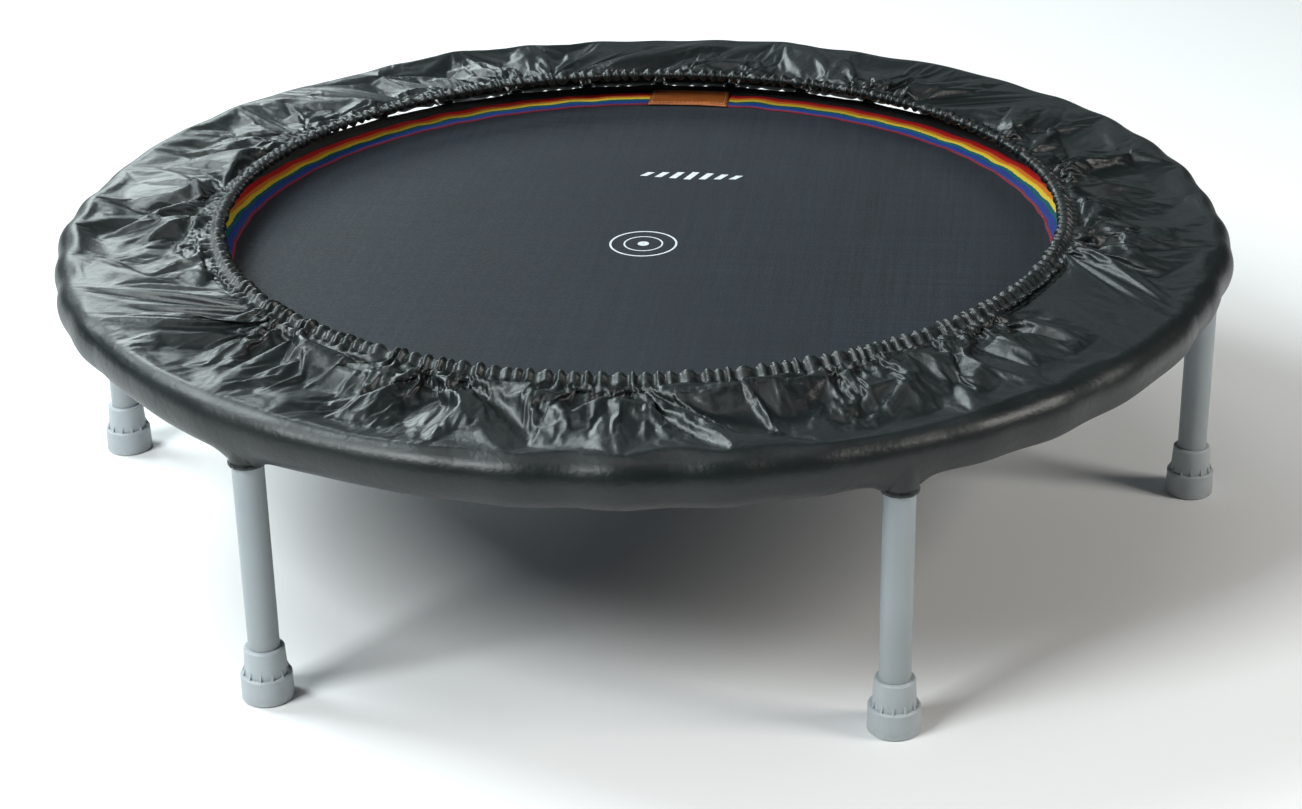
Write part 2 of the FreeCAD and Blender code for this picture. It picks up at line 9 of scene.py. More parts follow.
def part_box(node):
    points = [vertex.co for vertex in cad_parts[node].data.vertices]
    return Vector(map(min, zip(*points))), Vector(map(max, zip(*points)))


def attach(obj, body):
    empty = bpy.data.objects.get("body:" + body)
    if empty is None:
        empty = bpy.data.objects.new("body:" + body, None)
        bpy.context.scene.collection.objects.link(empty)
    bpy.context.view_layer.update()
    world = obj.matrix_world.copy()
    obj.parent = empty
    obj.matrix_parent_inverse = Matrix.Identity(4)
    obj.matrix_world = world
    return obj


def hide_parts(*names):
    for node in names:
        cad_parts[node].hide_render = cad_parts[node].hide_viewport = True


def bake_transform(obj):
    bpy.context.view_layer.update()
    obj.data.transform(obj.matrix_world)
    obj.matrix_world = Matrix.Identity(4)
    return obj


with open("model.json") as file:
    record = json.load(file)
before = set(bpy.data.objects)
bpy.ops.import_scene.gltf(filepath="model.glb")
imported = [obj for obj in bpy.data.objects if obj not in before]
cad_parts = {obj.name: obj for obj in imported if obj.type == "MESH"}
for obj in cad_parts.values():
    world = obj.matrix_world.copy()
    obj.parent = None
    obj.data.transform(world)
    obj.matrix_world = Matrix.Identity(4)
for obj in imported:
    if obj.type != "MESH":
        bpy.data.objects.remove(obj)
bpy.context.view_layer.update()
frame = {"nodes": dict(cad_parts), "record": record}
MM = 0.001
TURN = 2 * math.pi
CURVE_STEPS = 24


# ---------------- places, read from the frame

def node_reach(node):
    """How near the middle and how far out a CAD node goes, and its lowest and highest point."""
    mesh = frame["nodes"][node].data
    flat = np.empty(len(mesh.vertices) * 3)
    mesh.vertices.foreach_get("co", flat)
    points = flat.reshape(-1, 3)
    radii = np.hypot(points[:, 0], points[:, 1])
    return radii.min(), radii.max(), points[:, 2].min(), points[:, 2].max()


LEG_COUNT = 6
SPRING_COUNT = 36
RING_IN, RING_OUT, RING_LOW, RING_HIGH = node_reach("frame_ring")
RING_MID = (RING_LOW + RING_HIGH) / 2
LEG_CIRCLE = (RING_IN + RING_OUT) / 2
MAT_OUT, MAT_LOW, MAT_HIGH = node_reach("mat_fabric")[1:]
HEM_IN, HEM_OUT, HEM_LOW, HEM_HIGH = node_reach("mat_hem")
TAPE_IN, TAPE_OUT, _, TAPE_HIGH = node_reach("striped_tape")
PATCH_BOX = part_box("leather_patch")
PATCH_LOW, PATCH_HIGH = PATCH_BOX[0][2], PATCH_BOX[1][2]
PATCH_LENGTH = PATCH_BOX[1][0] - PATCH_BOX[0][0]
PATCH_IN, PATCH_OUT = node_reach("leather_patch")[:2]
COVER_OUT, COVER_LOW, COVER_HIGH = node_reach("cover_skin")[1:]
ELASTIC_IN, ELASTIC_OUT, ELASTIC_LOW, ELASTIC_HIGH = node_reach("cover_elastic")
DRAW_IN, DRAW_OUT, DRAW_LOW, DRAW_HIGH = node_reach("cover_draw_elastic")
SPRING_IN, SPRING_OUT, SPRING_LOW, SPRING_HIGH = node_reach("springs_1")
SLEEVE_LOW = node_reach("leg_sleeves")[2]
LEG_RADIUS = (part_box("leg_tube_1")[1][0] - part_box("leg_tube_1")[0][0]) / 2


# ---------------- small helpers

def on_ring(radius, angle, height=0.0):
    """A point at a radius and an angle round the trampoline's axis."""
    return Vector((radius * math.cos(angle), radius * math.sin(angle), height))


def all_round(count):
    """Even angles once round the ring."""
    return np.linspace(0, TURN, count, endpoint=False)


def ease(edge_a, edge_b, x):
    """0 before edge_a, 1 after edge_b and smooth between."""
    t = np.clip((x - edge_a) / (edge_b - edge_a), 0.0, 1.0)
    return t * t * (3 - 2 * t)


def in_scene(name, what):
    """An object in the scene from a mesh, a light or a lens."""
    thing = bpy.data.objects.new(name, what)
    bpy.context.scene.collection.objects.link(thing)
    return thing


def mesh_piece(name, verts, faces, slot, material=None, smooth=True):
    """A mesh object with its record slot, and the slot's own finish or another."""
    mesh = bpy.data.meshes.new(name)
    mesh.from_pydata([tuple(v) for v in verts], [], [tuple(f) for f in faces])
    mesh.update()
    if smooth:
        mesh.polygons.foreach_set("use_smooth", [True] * len(mesh.polygons))
    piece = in_scene(name, mesh)
    mesh.materials.append(material or MATERIALS[slot])
    return piece


def strip_faces(rows, columns, close_columns=True, close_rows=False):
    """Quads over a grid of points stored row by row."""
    faces = []
    last_row = rows if close_rows else rows - 1
    last_column = columns if close_columns else columns - 1
    for r in range(last_row):
        for c in range(last_column):
            a = r * columns + c
            b = r * columns + (c + 1) % columns
            up = (r + 1) % rows * columns
            faces.append((a, b, up + (c + 1) % columns, up + c))
    return faces


def set_uv(piece, uv_of_vertex):
    """Give a mesh a UV map from one pair of numbers a vertex."""
    mesh = piece.data
    layer = mesh.uv_layers.new(name="cloth")
    index = np.empty(len(mesh.loops), dtype=np.int32)
    mesh.loops.foreach_get("vertex_index", index)
    layer.data.foreach_set("uv", np.asarray(uv_of_vertex, dtype=np.float32)[index].ravel())


def from_place(place, *steps_mm):
    """Points of a section, in millimetres out and up from one place."""
    return [(place[0] + out * MM, place[1] + up * MM) for out, up in steps_mm]


def distance_along(path):
    """How far along a path each of its points is."""
    return np.concatenate([[0], np.cumsum(np.linalg.norm(np.diff(path, axis=0), axis=1))])


def smooth_path(points, count):
    """Evenly spaced points on a smooth curve through a few points."""
    pts = np.asarray(points, float)
    padded = np.vstack([2 * pts[0] - pts[1], pts, 2 * pts[-1] - pts[-2]])
    fine = []
    for i in range(len(pts) - 1):
        p0, p1, p2, p3 = padded[i:i + 4]
        for t in np.linspace(0, 1, CURVE_STEPS, endpoint=False):
            fine.append(
                0.5 * (2 * p1 + (p2 - p0) * t + (2 * p0 - 5 * p1 + 4 * p2 - p3) * t * t
                       + (3 * p1 - p0 - 3 * p2 + p3) * t ** 3)
            )
    fine.append(pts[-1])
    fine = np.array(fine)
    run = distance_along(fine)
    even = np.linspace(0, run[-1], count)
    return np.stack([np.interp(even, run, fine[:, k]) for k in range(fine.shape[1])], axis=1)


def tube_along(path, radius, sides, closed=False):
    """Points and quads of a round tube along a list of points."""
    path = np.asarray(path, float)
    count = len(path)
    if closed:
        ahead = np.roll(path, -1, axis=0) - np.roll(path, 1, axis=0)
    else:
        ahead = np.gradient(path, axis=0)
    ahead /= np.linalg.norm(ahead, axis=1)[:, None]
    side = np.cross(ahead[0], (0, 0, 1))
    if np.linalg.norm(side) < 0.1:
        side = np.cross(ahead[0], (1, 0, 0))
    side /= np.linalg.norm(side)
    verts = []
    for i in range(count):
        side = side - ahead[i] * side.dot(ahead[i])
        side /= np.linalg.norm(side)
        up = np.cross(ahead[i], side)
        for k in range(sides):
            a = TURN * k / sides
            verts.append(path[i] + radius * (math.cos(a) * side + math.sin(a) * up))
    faces = strip_faces(count, sides, True, closed)
    if not closed:
        faces.append(tuple(range(sides))[::-1])
        faces.append(tuple((count - 1) * sides + k for k in range(sides)))
    return verts, faces


def joined(chunks):
    """Several (points, faces) chunks as one."""
    verts = []
    faces = []
    for chunk_verts, chunk_faces in chunks:
        base = len(verts)
        verts.extend(chunk_verts)
        faces.extend(tuple(i + base for i in face) for face in chunk_faces)
    return verts, faces


# ---------------- shader node groups

class Nodes:
    """Short calls for building one node tree."""

    def __init__(self, tree):
        self.tree = tree

    def add(self, kind, **settings):
        node = self.tree.nodes.new(kind)
        for key, setting in settings.items():
            setattr(node, key, setting)
        return node

    def link(self, source, target):
        self.tree.links.new(source, target)

    def fill(self, socket, source):
        """Set a socket to a number or colour, or link it to another socket."""
        if isinstance(source, bpy.types.NodeSocket):
            self.link(source, socket)
        else:
            socket.default_value = source

    def math(self, operation, first, second=None, clamp=False):
        node = self.add("ShaderNodeMath", operation=operation, use_clamp=clamp)
        self.fill(node.inputs[0], first)
        if second is not None:
            self.fill(node.inputs[1], second)
        return node.outputs[0]

    def mix(self, factor, first, second, blend="MIX"):
        node = self.add("ShaderNodeMix", data_type="RGBA", blend_type=blend)
        self.fill(node.inputs["Factor"], factor)
        self.fill(node.inputs[6], first)
        self.fill(node.inputs[7], second)
        return node.outputs[2]

    def noise(self, vector, scale, detail=3.0, roughness=0.5):
        node = self.add("ShaderNodeTexNoise")
        self.fill(node.inputs["Vector"], vector)
        self.fill(node.inputs["Scale"], scale)
        node.inputs["Detail"].default_value = detail
        node.inputs["Roughness"].default_value = roughness
        return node.outputs["Fac"]

    def range(self, source, low, high, to_low, to_high):
        node = self.add("ShaderNodeMapRange")
        self.fill(node.inputs["Value"], source)
        for name, number in (
            ("From Min", low), ("From Max", high), ("To Min", to_low), ("To Max", to_high),
        ):
            self.fill(node.inputs[name], number)
        return node.outputs["Result"]

    def split(self, vector):
        node = self.add("ShaderNodeSeparateXYZ")
        self.link(vector, node.inputs[0])
        return node.outputs

    def stretch(self, vector, scale):
        node = self.add("ShaderNodeVectorMath", operation="MULTIPLY")
        self.fill(node.inputs[0], vector)
        node.inputs[1].default_value = scale
        return node.outputs[0]


def new_group(name, inputs, outputs):
    """A node group with named sockets; gives its Nodes helper, its input and its output node."""
    tree = bpy.data.node_groups.new(name, "ShaderNodeTree")
    for label, kind, default in inputs:
        socket = tree.interface.new_socket(label, in_out="INPUT", socket_type=kind)
        if default is not None:
            socket.default_value = default
    for label, kind in outputs:
        tree.interface.new_socket(label, in_out="OUTPUT", socket_type=kind)
    nodes = Nodes(tree)
    return nodes, nodes.add("NodeGroupInput"), nodes.add("NodeGroupOutput")


def woven_group():
    """Over-and-under yarns: a height, and a mask that is 1 on the yarns' crowns."""
    nodes, start, end = new_group(
        "woven yarns",
        [("Vector", "NodeSocketVector", None), ("Yarns per metre", "NodeSocketFloat", 600.0)],
        [("Height", "NodeSocketFloat"), ("Crown", "NodeSocketFloat")],
    )
    split = nodes.split(start.outputs["Vector"])
    turns = nodes.math("MULTIPLY", start.outputs["Yarns per metre"], math.pi)
    warp = nodes.math("SINE", nodes.math("MULTIPLY", split["X"], turns))
    weft = nodes.math("SINE", nodes.math("MULTIPLY", split["Y"], turns))
    over = nodes.math("MULTIPLY", warp, weft)
    warp_round = nodes.math("ABSOLUTE", warp)
    weft_round = nodes.math("ABSOLUTE", weft)
    lower = nodes.math("MULTIPLY", warp_round, weft_round)
    height = nodes.math(
        "ADD", nodes.math("MULTIPLY", over, 0.5), nodes.math("MULTIPLY", lower, 0.5)
    )
    nodes.link(height, end.inputs["Height"])
    nodes.link(nodes.range(over, -1.0, 1.0, 0.0, 1.0), end.inputs["Crown"])
    return nodes.tree


def mottled_group():
    """Slow and fine change of one colour, as in dyed cloth or moulded plastic."""
    nodes, start, end = new_group(
        "mottled colour",
        [
            ("Vector", "NodeSocketVector", None),
            ("Colour", "NodeSocketColor", (0.5, 0.5, 0.5, 1)),
            ("Second colour", "NodeSocketColor", (0.4, 0.4, 0.4, 1)),
            ("Patches per metre", "NodeSocketFloat", 12.0),
            ("Grain per metre", "NodeSocketFloat", 900.0),
        ],
        [
            ("Colour", "NodeSocketColor"),
            ("Patches", "NodeSocketFloat"),
            ("Grain", "NodeSocketFloat"),
        ],
    )
    slow = nodes.noise(start.outputs["Vector"], start.outputs["Patches per metre"], 4.0)
    fine = nodes.noise(start.outputs["Vector"], start.outputs["Grain per metre"], 2.0)
    both = nodes.math("ADD", nodes.math("MULTIPLY", slow, 0.7), nodes.math("MULTIPLY", fine, 0.3))
    spread = nodes.range(both, 0.35, 0.65, 0.0, 1.0)
    colour = nodes.mix(spread, start.outputs["Colour"], start.outputs["Second colour"])
    nodes.link(colour, end.inputs["Colour"])
    nodes.link(slow, end.inputs["Patches"])
    nodes.link(fine, end.inputs["Grain"])
    return nodes.tree


def floor_dust_and_shadow_group():
    """A spotted mask, strongest near the floor: leg dust, and painted floor shadow on the feet.
    """
    nodes, start, end = new_group(
        "floor dust and painted shadow",
        [
            ("Vector", "NodeSocketVector", None),
            ("Reach", "NodeSocketFloat", 0.03),
            ("Amount", "NodeSocketFloat", 0.5),
        ],
        [("Dust and shadow", "NodeSocketFloat")],
    )
    split = nodes.split(start.outputs["Vector"])
    low = nodes.range(split["Z"], 0.0, start.outputs["Reach"], 1.0, 0.0)
    patches = nodes.noise(start.outputs["Vector"], 160.0, 5.0, 0.6)
    spots = nodes.range(patches, 0.42, 0.62, 0.0, 1.0)
    spotted = nodes.math("MULTIPLY", low, spots)
    dust_and_shadow = nodes.math("MULTIPLY", spotted, start.outputs["Amount"], True)
    nodes.link(dust_and_shadow, end.inputs["Dust and shadow"])
    return nodes.tree


GROUPS = {"woven": woven_group(), "mottled": mottled_group(), "dust_and_shadow": floor_dust_and_shadow_group()}


class Finish(Nodes):
    """One material: its Principled shader and the effects that feed it."""

    def __init__(self, name, roughness, metallic=0.0, **sockets):
        self.material = bpy.data.materials.new(name)
        self.material.use_nodes = True
        super().__init__(self.material.node_tree)
        self.shader = self.tree.nodes["Principled BSDF"]
        self.shader.inputs["Roughness"].default_value = roughness
        self.shader.inputs["Metallic"].default_value = metallic
        for key, number in sockets.items():
            self.shader.inputs[key.replace("_", " ")].default_value = number
        self.place = self.add("ShaderNodeTexCoord").outputs["Object"]

    def group(self, key, **inputs):
        node = self.add("ShaderNodeGroup", node_tree=GROUPS[key])
        if "Vector" in node.inputs and "Vector" not in inputs:
            self.link(self.place, node.inputs["Vector"])
        for label, source in inputs.items():
            self.fill(node.inputs[label.replace("_", " ")], source)
        return node

    def mottled(self, colour, second, patches, grain):
        """Two tones of a colour, with the patches and grain that they change by."""
        return self.group("mottled", Colour=colour, Second_colour=second,
                          Patches_per_metre=patches, Grain_per_metre=grain).outputs

    def shaded(self, colour, tone):
        """A colour times a number that changes over the surface."""
        grey = self.add("ShaderNodeCombineColor")
        for socket in grey.inputs[:3]:
            self.link(tone, socket)
        return self.mix(1.0, colour, grey.outputs[0], "MULTIPLY")

    def colour(self, source):
        self.fill(self.shader.inputs["Base Color"], source)

    def rough(self, change, smoothest, roughest):
        """Roughness that follows a noise."""
        spread = self.range(change, 0.3, 0.7, smoothest, roughest)
        self.link(spread, self.shader.inputs["Roughness"])

    def bump(self, height, distance, strength=1.0, below=None):
        node = self.add("ShaderNodeBump")
        node.inputs["Strength"].default_value = strength
        node.inputs["Distance"].default_value = distance
        self.link(height, node.inputs["Height"])
        if below is not None:
            self.link(below, node.inputs["Normal"])
        self.link(node.outputs[0], self.shader.inputs["Normal"])
        return node.outputs[0]


# ---------------- materials

def coated_cover():
    """Black coated nylon: satin gloss, faint weave under the coat, fine crinkle."""
    f = Finish("coated_cover", 0.38, Specular_IOR_Level=0.46)
    base = f.mottled((0.0040, 0.0070, 0.0070, 1), (0.0070, 0.011, 0.011, 1), 9.0, 700.0)
    f.colour(base["Colour"])
    f.rough(base["Patches"], 0.34, 0.43)
    weave = f.group("woven", Yarns_per_metre=1400.0)
    crinkle = f.noise(f.place, 120.0, 4.0, 0.6)
    soft = f.bump(crinkle, 0.0011, 0.55)
    f.bump(weave.outputs["Height"], 0.00006, 0.5, soft)
    return f.material


def woven_mat():
    """Tight plain weave of flat dark slate yarn, with faint bands where the loom beat changed."""
    f = Finish("woven_mat", 0.66, Specular_IOR_Level=0.2, Sheen_Weight=0.05, Sheen_Roughness=0.5)
    weave = f.group("woven", Yarns_per_metre=520.0)
    base = f.mottled((0.0048, 0.0090, 0.0148, 1), (0.0072, 0.0120, 0.0185, 1), 7.0, 380.0)
    bands_x = f.noise(f.stretch(f.place, (260.0, 6.0, 1.0)), 1.0, 2.0)
    bands_y = f.noise(f.stretch(f.place, (6.0, 260.0, 1.0)), 1.0, 2.0)
    bands = f.range(f.math("ADD", bands_x, bands_y), 0.7, 1.3, 0.62, 1.32)
    # painted shade: the yarns' crowns are made lighter and the hollows under crossing yarns
    # darker
    painted_crown_shade = f.range(weave.outputs["Crown"], 0.0, 1.0, 0.86, 1.1)
    f.colour(f.shaded(base["Colour"], f.math("MULTIPLY", bands, painted_crown_shade)))
    f.rough(base["Grain"], 0.6, 0.74)
    f.bump(weave.outputs["Height"], 0.00022, 0.55)
    return f.material


def black_webbing():
    """Black polyester webbing."""
    f = Finish("black_webbing", 0.72, Sheen_Weight=0.15, Sheen_Roughness=0.4)
    weave = f.group("woven", Yarns_per_metre=800.0)
    base = f.mottled((0.008, 0.008, 0.009, 1), (0.015, 0.014, 0.014, 1), 30.0, 900.0)
    f.colour(base["Colour"])
    f.rough(base["Grain"], 0.66, 0.8)
    f.bump(weave.outputs["Height"], 0.0003, 0.7)
    return f.material


STRIPE_COLOURS = [
    (0.0, (0.19, 0.012, 0.035, 1)),
    (0.08, (0.014, 0.050, 0.27, 1)),
    (0.28, (0.004, 0.125, 0.130, 1)),
    (0.41, (0.96, 0.70, 0.045, 1)),
    (0.56, (0.94, 0.26, 0.022, 1)),
    (0.72, (0.84, 0.012, 0.016, 1)),
]


def striped_webbing():
    """Woven tape in six stripes that follow the tape's own width."""
    f = Finish("striped_webbing", 0.7, Specular_IOR_Level=0.2,
               Sheen_Weight=0.03, Sheen_Roughness=0.4)
    along = f.add("ShaderNodeUVMap", uv_map="cloth")
    split = f.split(along.outputs[0])
    shaky = f.noise(f.stretch(along.outputs[0], (90.0, 3.0, 1.0)), 1.0, 2.0)
    shake = f.math("MULTIPLY", f.math("SUBTRACT", shaky, 0.5), 0.07)
    across = f.math("ADD", split["Y"], shake)
    ramp = f.add("ShaderNodeValToRGB")
    ramp.color_ramp.interpolation = "CONSTANT"
    stops = ramp.color_ramp.elements
    for i, (place, colour) in enumerate(STRIPE_COLOURS):
        stop = stops[i] if i < len(stops) else stops.new(place)
        stop.position = place
        stop.color = colour
    f.link(across, ramp.inputs[0])
    ribs = f.math("SINE", f.math("MULTIPLY", split["X"], TURN * 1100.0))
    rows = f.math("SINE", f.math("MULTIPLY", split["Y"], TURN * 26.0))
    yarn_relief_and_shade = f.math("MULTIPLY", ribs, rows)
    # painted shade: the stripes are darker in the hollows of the ribs and rows and lighter on
    # their crowns
    f.colour(f.shaded(ramp.outputs[0], f.range(yarn_relief_and_shade, -1.0, 1.0, 0.78, 1.06)))
    f.bump(yarn_relief_and_shade, 0.0002, 0.6)
    return f.material


def tan_leather():
    """Orange-brown leather with a fine pebbled grain, in patches of two tones."""
    f = Finish("tan_leather", 0.5, Specular_IOR_Level=0.45)
    base = f.mottled((0.36, 0.105, 0.022, 1), (0.22, 0.055, 0.011, 1), 60.0, 900.0)
    f.colour(base["Colour"])
    f.rough(base["Patches"], 0.42, 0.6)
    pebble = f.add("ShaderNodeTexVoronoi", feature="DISTANCE_TO_EDGE")
    f.link(f.place, pebble.inputs["Vector"])
    pebble.inputs["Scale"].default_value = 700.0
    f.bump(pebble.outputs["Distance"], 0.0004, 0.6)
    return f.material


def darker(colour, share):
    """A share of a colour."""
    return tuple(share * c for c in colour[:3]) + (1,)


def sewing_thread(name, colour):
    """Twisted polyester thread."""
    f = Finish(name, 0.55, Sheen_Weight=0.2)
    base = f.mottled(colour, darker(colour, 0.6), 400.0, 2500.0)
    f.colour(base["Colour"])
    f.bump(base["Grain"], 0.0001, 0.6)
    return f.material


def powder_coat():
    """Light grey powder coat with its fine orange peel, dusty towards the floor."""
    f = Finish("powder_coat", 0.46, Specular_IOR_Level=0.5)
    base = f.mottled((0.33, 0.37, 0.39, 1), (0.30, 0.335, 0.35, 1), 14.0, 1200.0)
    dust_and_shadow = f.group("dust_and_shadow", Reach=0.12, Amount=0.35)
    f.colour(f.mix(dust_and_shadow.outputs["Dust and shadow"], base["Colour"], (0.36, 0.33, 0.29, 1)))
    f.rough(base["Patches"], 0.40, 0.52)
    f.bump(base["Grain"], 0.00012, 0.5)
    return f.material


def foot_plastic():
    """Light grey moulded plastic, matt; painted floor shadow and reflection at its foot."""
    f = Finish("foot_plastic", 0.55, Specular_IOR_Level=0.45)
    base = f.mottled((0.42, 0.46, 0.48, 1), (0.38, 0.415, 0.43, 1), 40.0, 1600.0)
    # painted contact shadow and floor reflection: darker brown in spots within 10 mm of the floor
    dust_and_shadow = f.group("dust_and_shadow", Reach=0.010, Amount=0.35)
    f.colour(f.mix(dust_and_shadow.outputs["Dust and shadow"], base["Colour"], (0.20, 0.175, 0.15, 1)))
    f.rough(base["Grain"], 0.48, 0.62)
    f.bump(base["Grain"], 0.00015, 0.6)
    return f.material


def plated_steel(name, colour, roughness):
    """Zinc-plated steel with drawing marks and slight spangle."""
    f = Finish(name, roughness, 1.0)
    base = f.mottled(colour, darker(colour, 0.72), 120.0, 2200.0)
    f.colour(base["Colour"])
    f.rough(base["Patches"], roughness - 0.06, roughness + 0.1)
    f.bump(base["Grain"], 0.00005, 0.5)
    return f.material


def braided_elastic():
    """Black braided elastic."""
    f = Finish("braided_elastic", 0.7)
    weave = f.group("woven", Yarns_per_metre=900.0)
    base = f.mottled((0.012, 0.012, 0.012, 1), (0.02, 0.02, 0.02, 1), 12.0, 900.0)
    f.colour(base["Colour"])
    f.bump(weave.outputs["Height"], 0.0003, 0.8)
    return f.material


def white_print():
    """White ink rubbed thin over the weave."""
    f = Finish("white_print", 0.6)
    weave = f.group("woven", Yarns_per_metre=520.0)
    wear = f.noise(f.place, 220.0, 4.0, 0.6)
    rubbed = f.math("MULTIPLY", f.range(wear, 0.3, 0.55, 0.25, 0.0), 1.0, True)
    ink = f.mix(rubbed, (0.62, 0.66, 0.69, 1), (0.18, 0.20, 0.22, 1))
    f.colour(ink)
    f.bump(weave.outputs["Height"], 0.00018, 0.5)
    return f.material


MATERIALS = {
    "coated_cover": coated_cover(),
    "woven_mat": woven_mat(),
    "hem_webbing": black_webbing(),
    "striped_webbing": striped_webbing(),
    "tan_leather": tan_leather(),
    "powder_coat": powder_coat(),
    "foot_plastic": foot_plastic(),
    "zinc_steel": plated_steel("zinc_steel", (0.60, 0.61, 0.60, 1), 0.34),
    "spring_steel": plated_steel("spring_steel", (0.50, 0.50, 0.49, 1), 0.30),
    "elastic_cord": braided_elastic(),
}
DARK_THREAD = sewing_thread("dark_thread", (0.02, 0.021, 0.022, 1))
TAN_THREAD = sewing_thread("tan_thread", (0.50, 0.22, 0.07, 1))
WINE_THREAD = sewing_thread("wine_thread", (0.16, 0.014, 0.028, 1))
INK = white_print()


def dress_cad_nodes():
    """Give every CAD node that stays in view its finish."""
    slots = {entry["node"]: entry["material_slot"] for entry in frame["record"]["subparts"]}
    for node, shown in frame["nodes"].items():
        finish = MATERIALS[slots[node]]
        if not shown.data.materials:
            shown.data.materials.append(finish)
        for place in shown.material_slots:
            place.material = finish


# ---------------- the gathered cover

CLOTH_COLUMNS = 1200
CLOTH_ROWS = 42
SIDE_ROWS = 48
CASING_ROWS = 15
HELD_ROWS = 3
SEWN_ROWS = 2
DRAW_STEPS = 22
SETTLE_STEPS = 12
GATHER_SEED = 7
STRIP_SLACK = 1.085
CUT_TAPER = 0.3
DENTS = 190
DENT_DEPTH_MM = 3.6
PLEATS = 214
PLEAT_HEIGHT = 2.1 * MM
HEM_PLEATS = 150
HEM_PLEAT_HEIGHT = 2.4 * MM
FRAME_CLEARANCE = 0.8 * MM
SPRING_CLEARANCE = 1 * MM
FOLD_HEADROOM = 9 * MM
SOFT_STOP = 0.8 * MM
LEG_HOLE_GAP = 1.5 * MM
RIM_LIFT = 0.8 * MM
RIM_SWELL = 1.2 * MM
TUBE_RADIUS = (RING_OUT - RING_IN) / 2
RIM_EDGE = (LEG_CIRCLE + 9.0 * MM, RING_MID + 15.0 * MM)
ELASTIC_RADIUS = (ELASTIC_IN + ELASTIC_OUT) / 2
ELASTIC_LEVEL = (ELASTIC_LOW + ELASTIC_HIGH) / 2
SEAM = (ELASTIC_RADIUS + 7.5 * MM, ELASTIC_LEVEL - 1.2 * MM)
CUT_RADIUS = LEG_CIRCLE - 15 * MM


def wave(rng, angles, turns, count):
    """A smooth random wave round the ring, about -1 to 1."""
    total = np.zeros_like(angles)
    for _ in range(count):
        total += math.sqrt(2.0 / count) * rng.uniform(0.6, 1.0) * np.sin(
            rng.integers(turns[0], turns[1]) * angles + rng.uniform(0, TURN)
        )
    return total


def ring_grid(radius, level, turn):
    """Points from radii, heights and angles, each one a row, a column or a whole grid."""
    radius, level, turn = np.broadcast_arrays(radius, level, turn)
    return np.stack([radius * np.cos(turn), radius * np.sin(turn), level], axis=2)


def swept(section, swell, turn):
    """A section carried round the ring, with each of its points moved out by its swell."""
    ahead = np.gradient(section, axis=0)
    ahead /= np.linalg.norm(ahead, axis=1)[:, None]
    return ring_grid(
        section[:, 0:1] + ahead[:, 1:2] * swell, section[:, 1:2] - ahead[:, 0:1] * swell, turn
    )


def top_section():
    """The cover's top from the rim in to the seam beside its elastic."""
    return smooth_path(
        [
            RIM_EDGE,
            (LEG_CIRCLE + 3 * MM, RIM_EDGE[1] + 2.6 * MM),
            (LEG_CIRCLE - 8 * MM, RIM_EDGE[1] + 4.5 * MM),
            (LEG_CIRCLE - 40 * MM, COVER_HIGH - 3.4 * MM),
            (ELASTIC_RADIUS + 40 * MM, COVER_HIGH - 3.2 * MM),
            SEAM,
        ],
        CLOTH_ROWS,
    )


def gathers(rng, angles):
    """How far each column of the cloth is pushed along the elastic, and its pleat."""
    drift = 0.030 * wave(rng, angles, (3, 16), 8) + 0.008 * wave(rng, angles, (24, 60), 6)
    phase = (angles + drift) * PLEATS + 1.2 * wave(rng, angles, (20, 90), 9)
    unequal = np.clip(0.9 + 0.35 * wave(rng, angles, (30, 120), 9), 0.45, 1.5)
    return drift, np.sin(phase) * unequal


def strip_before_gathering(rng, angles, section):
    """The cover's top as it was cut: a wide strip joined in a ring, nearly a cylinder."""
    steps = np.hypot(*np.diff(section, axis=0).T)
    inward = np.concatenate([[0], np.cumsum(steps)]) / steps.sum()
    radius = RIM_EDGE[0] - (RIM_EDGE[0] - CUT_RADIUS) * np.clip(inward / CUT_TAPER, 0.0, 1.0)
    rise = np.sqrt(np.maximum((STRIP_SLACK * steps) ** 2 - np.diff(radius) ** 2, 0.0))
    level = RIM_EDGE[1] + np.concatenate([[0], np.cumsum(rise)])
    dents = np.zeros((CLOTH_ROWS, len(angles)))
    for _ in range(DENTS):
        at = rng.uniform(0, TURN)
        middle = rng.uniform(0.3, 0.85)
        wide = rng.uniform(0.012, 0.045)
        long = rng.uniform(0.12, 0.35)
        slant = rng.normal(0, 0.06)
        depth = rng.uniform(-DENT_DEPTH_MM, DENT_DEPTH_MM) * MM
        up = inward[:, None] - middle
        off = (angles[None, :] - at - slant * up + math.pi) % TURN - math.pi
        dents += depth * np.exp(-((off / wide) ** 2 + (up / long) ** 2))
    dents *= np.sin(math.pi * inward)[:, None]
    return ring_grid(radius[:, None] + dents, level[:, None], angles[None, :])


CLOTH_SETTINGS = {
    "quality": 6, "mass": 0.15, "bending_stiffness": 0.1, "shear_stiffness": 10,
    "tension_stiffness": 40, "compression_stiffness": 40, "tension_damping": 1,
    "compression_damping": 1, "shear_damping": 1, "vertex_group_mass": "held",
}


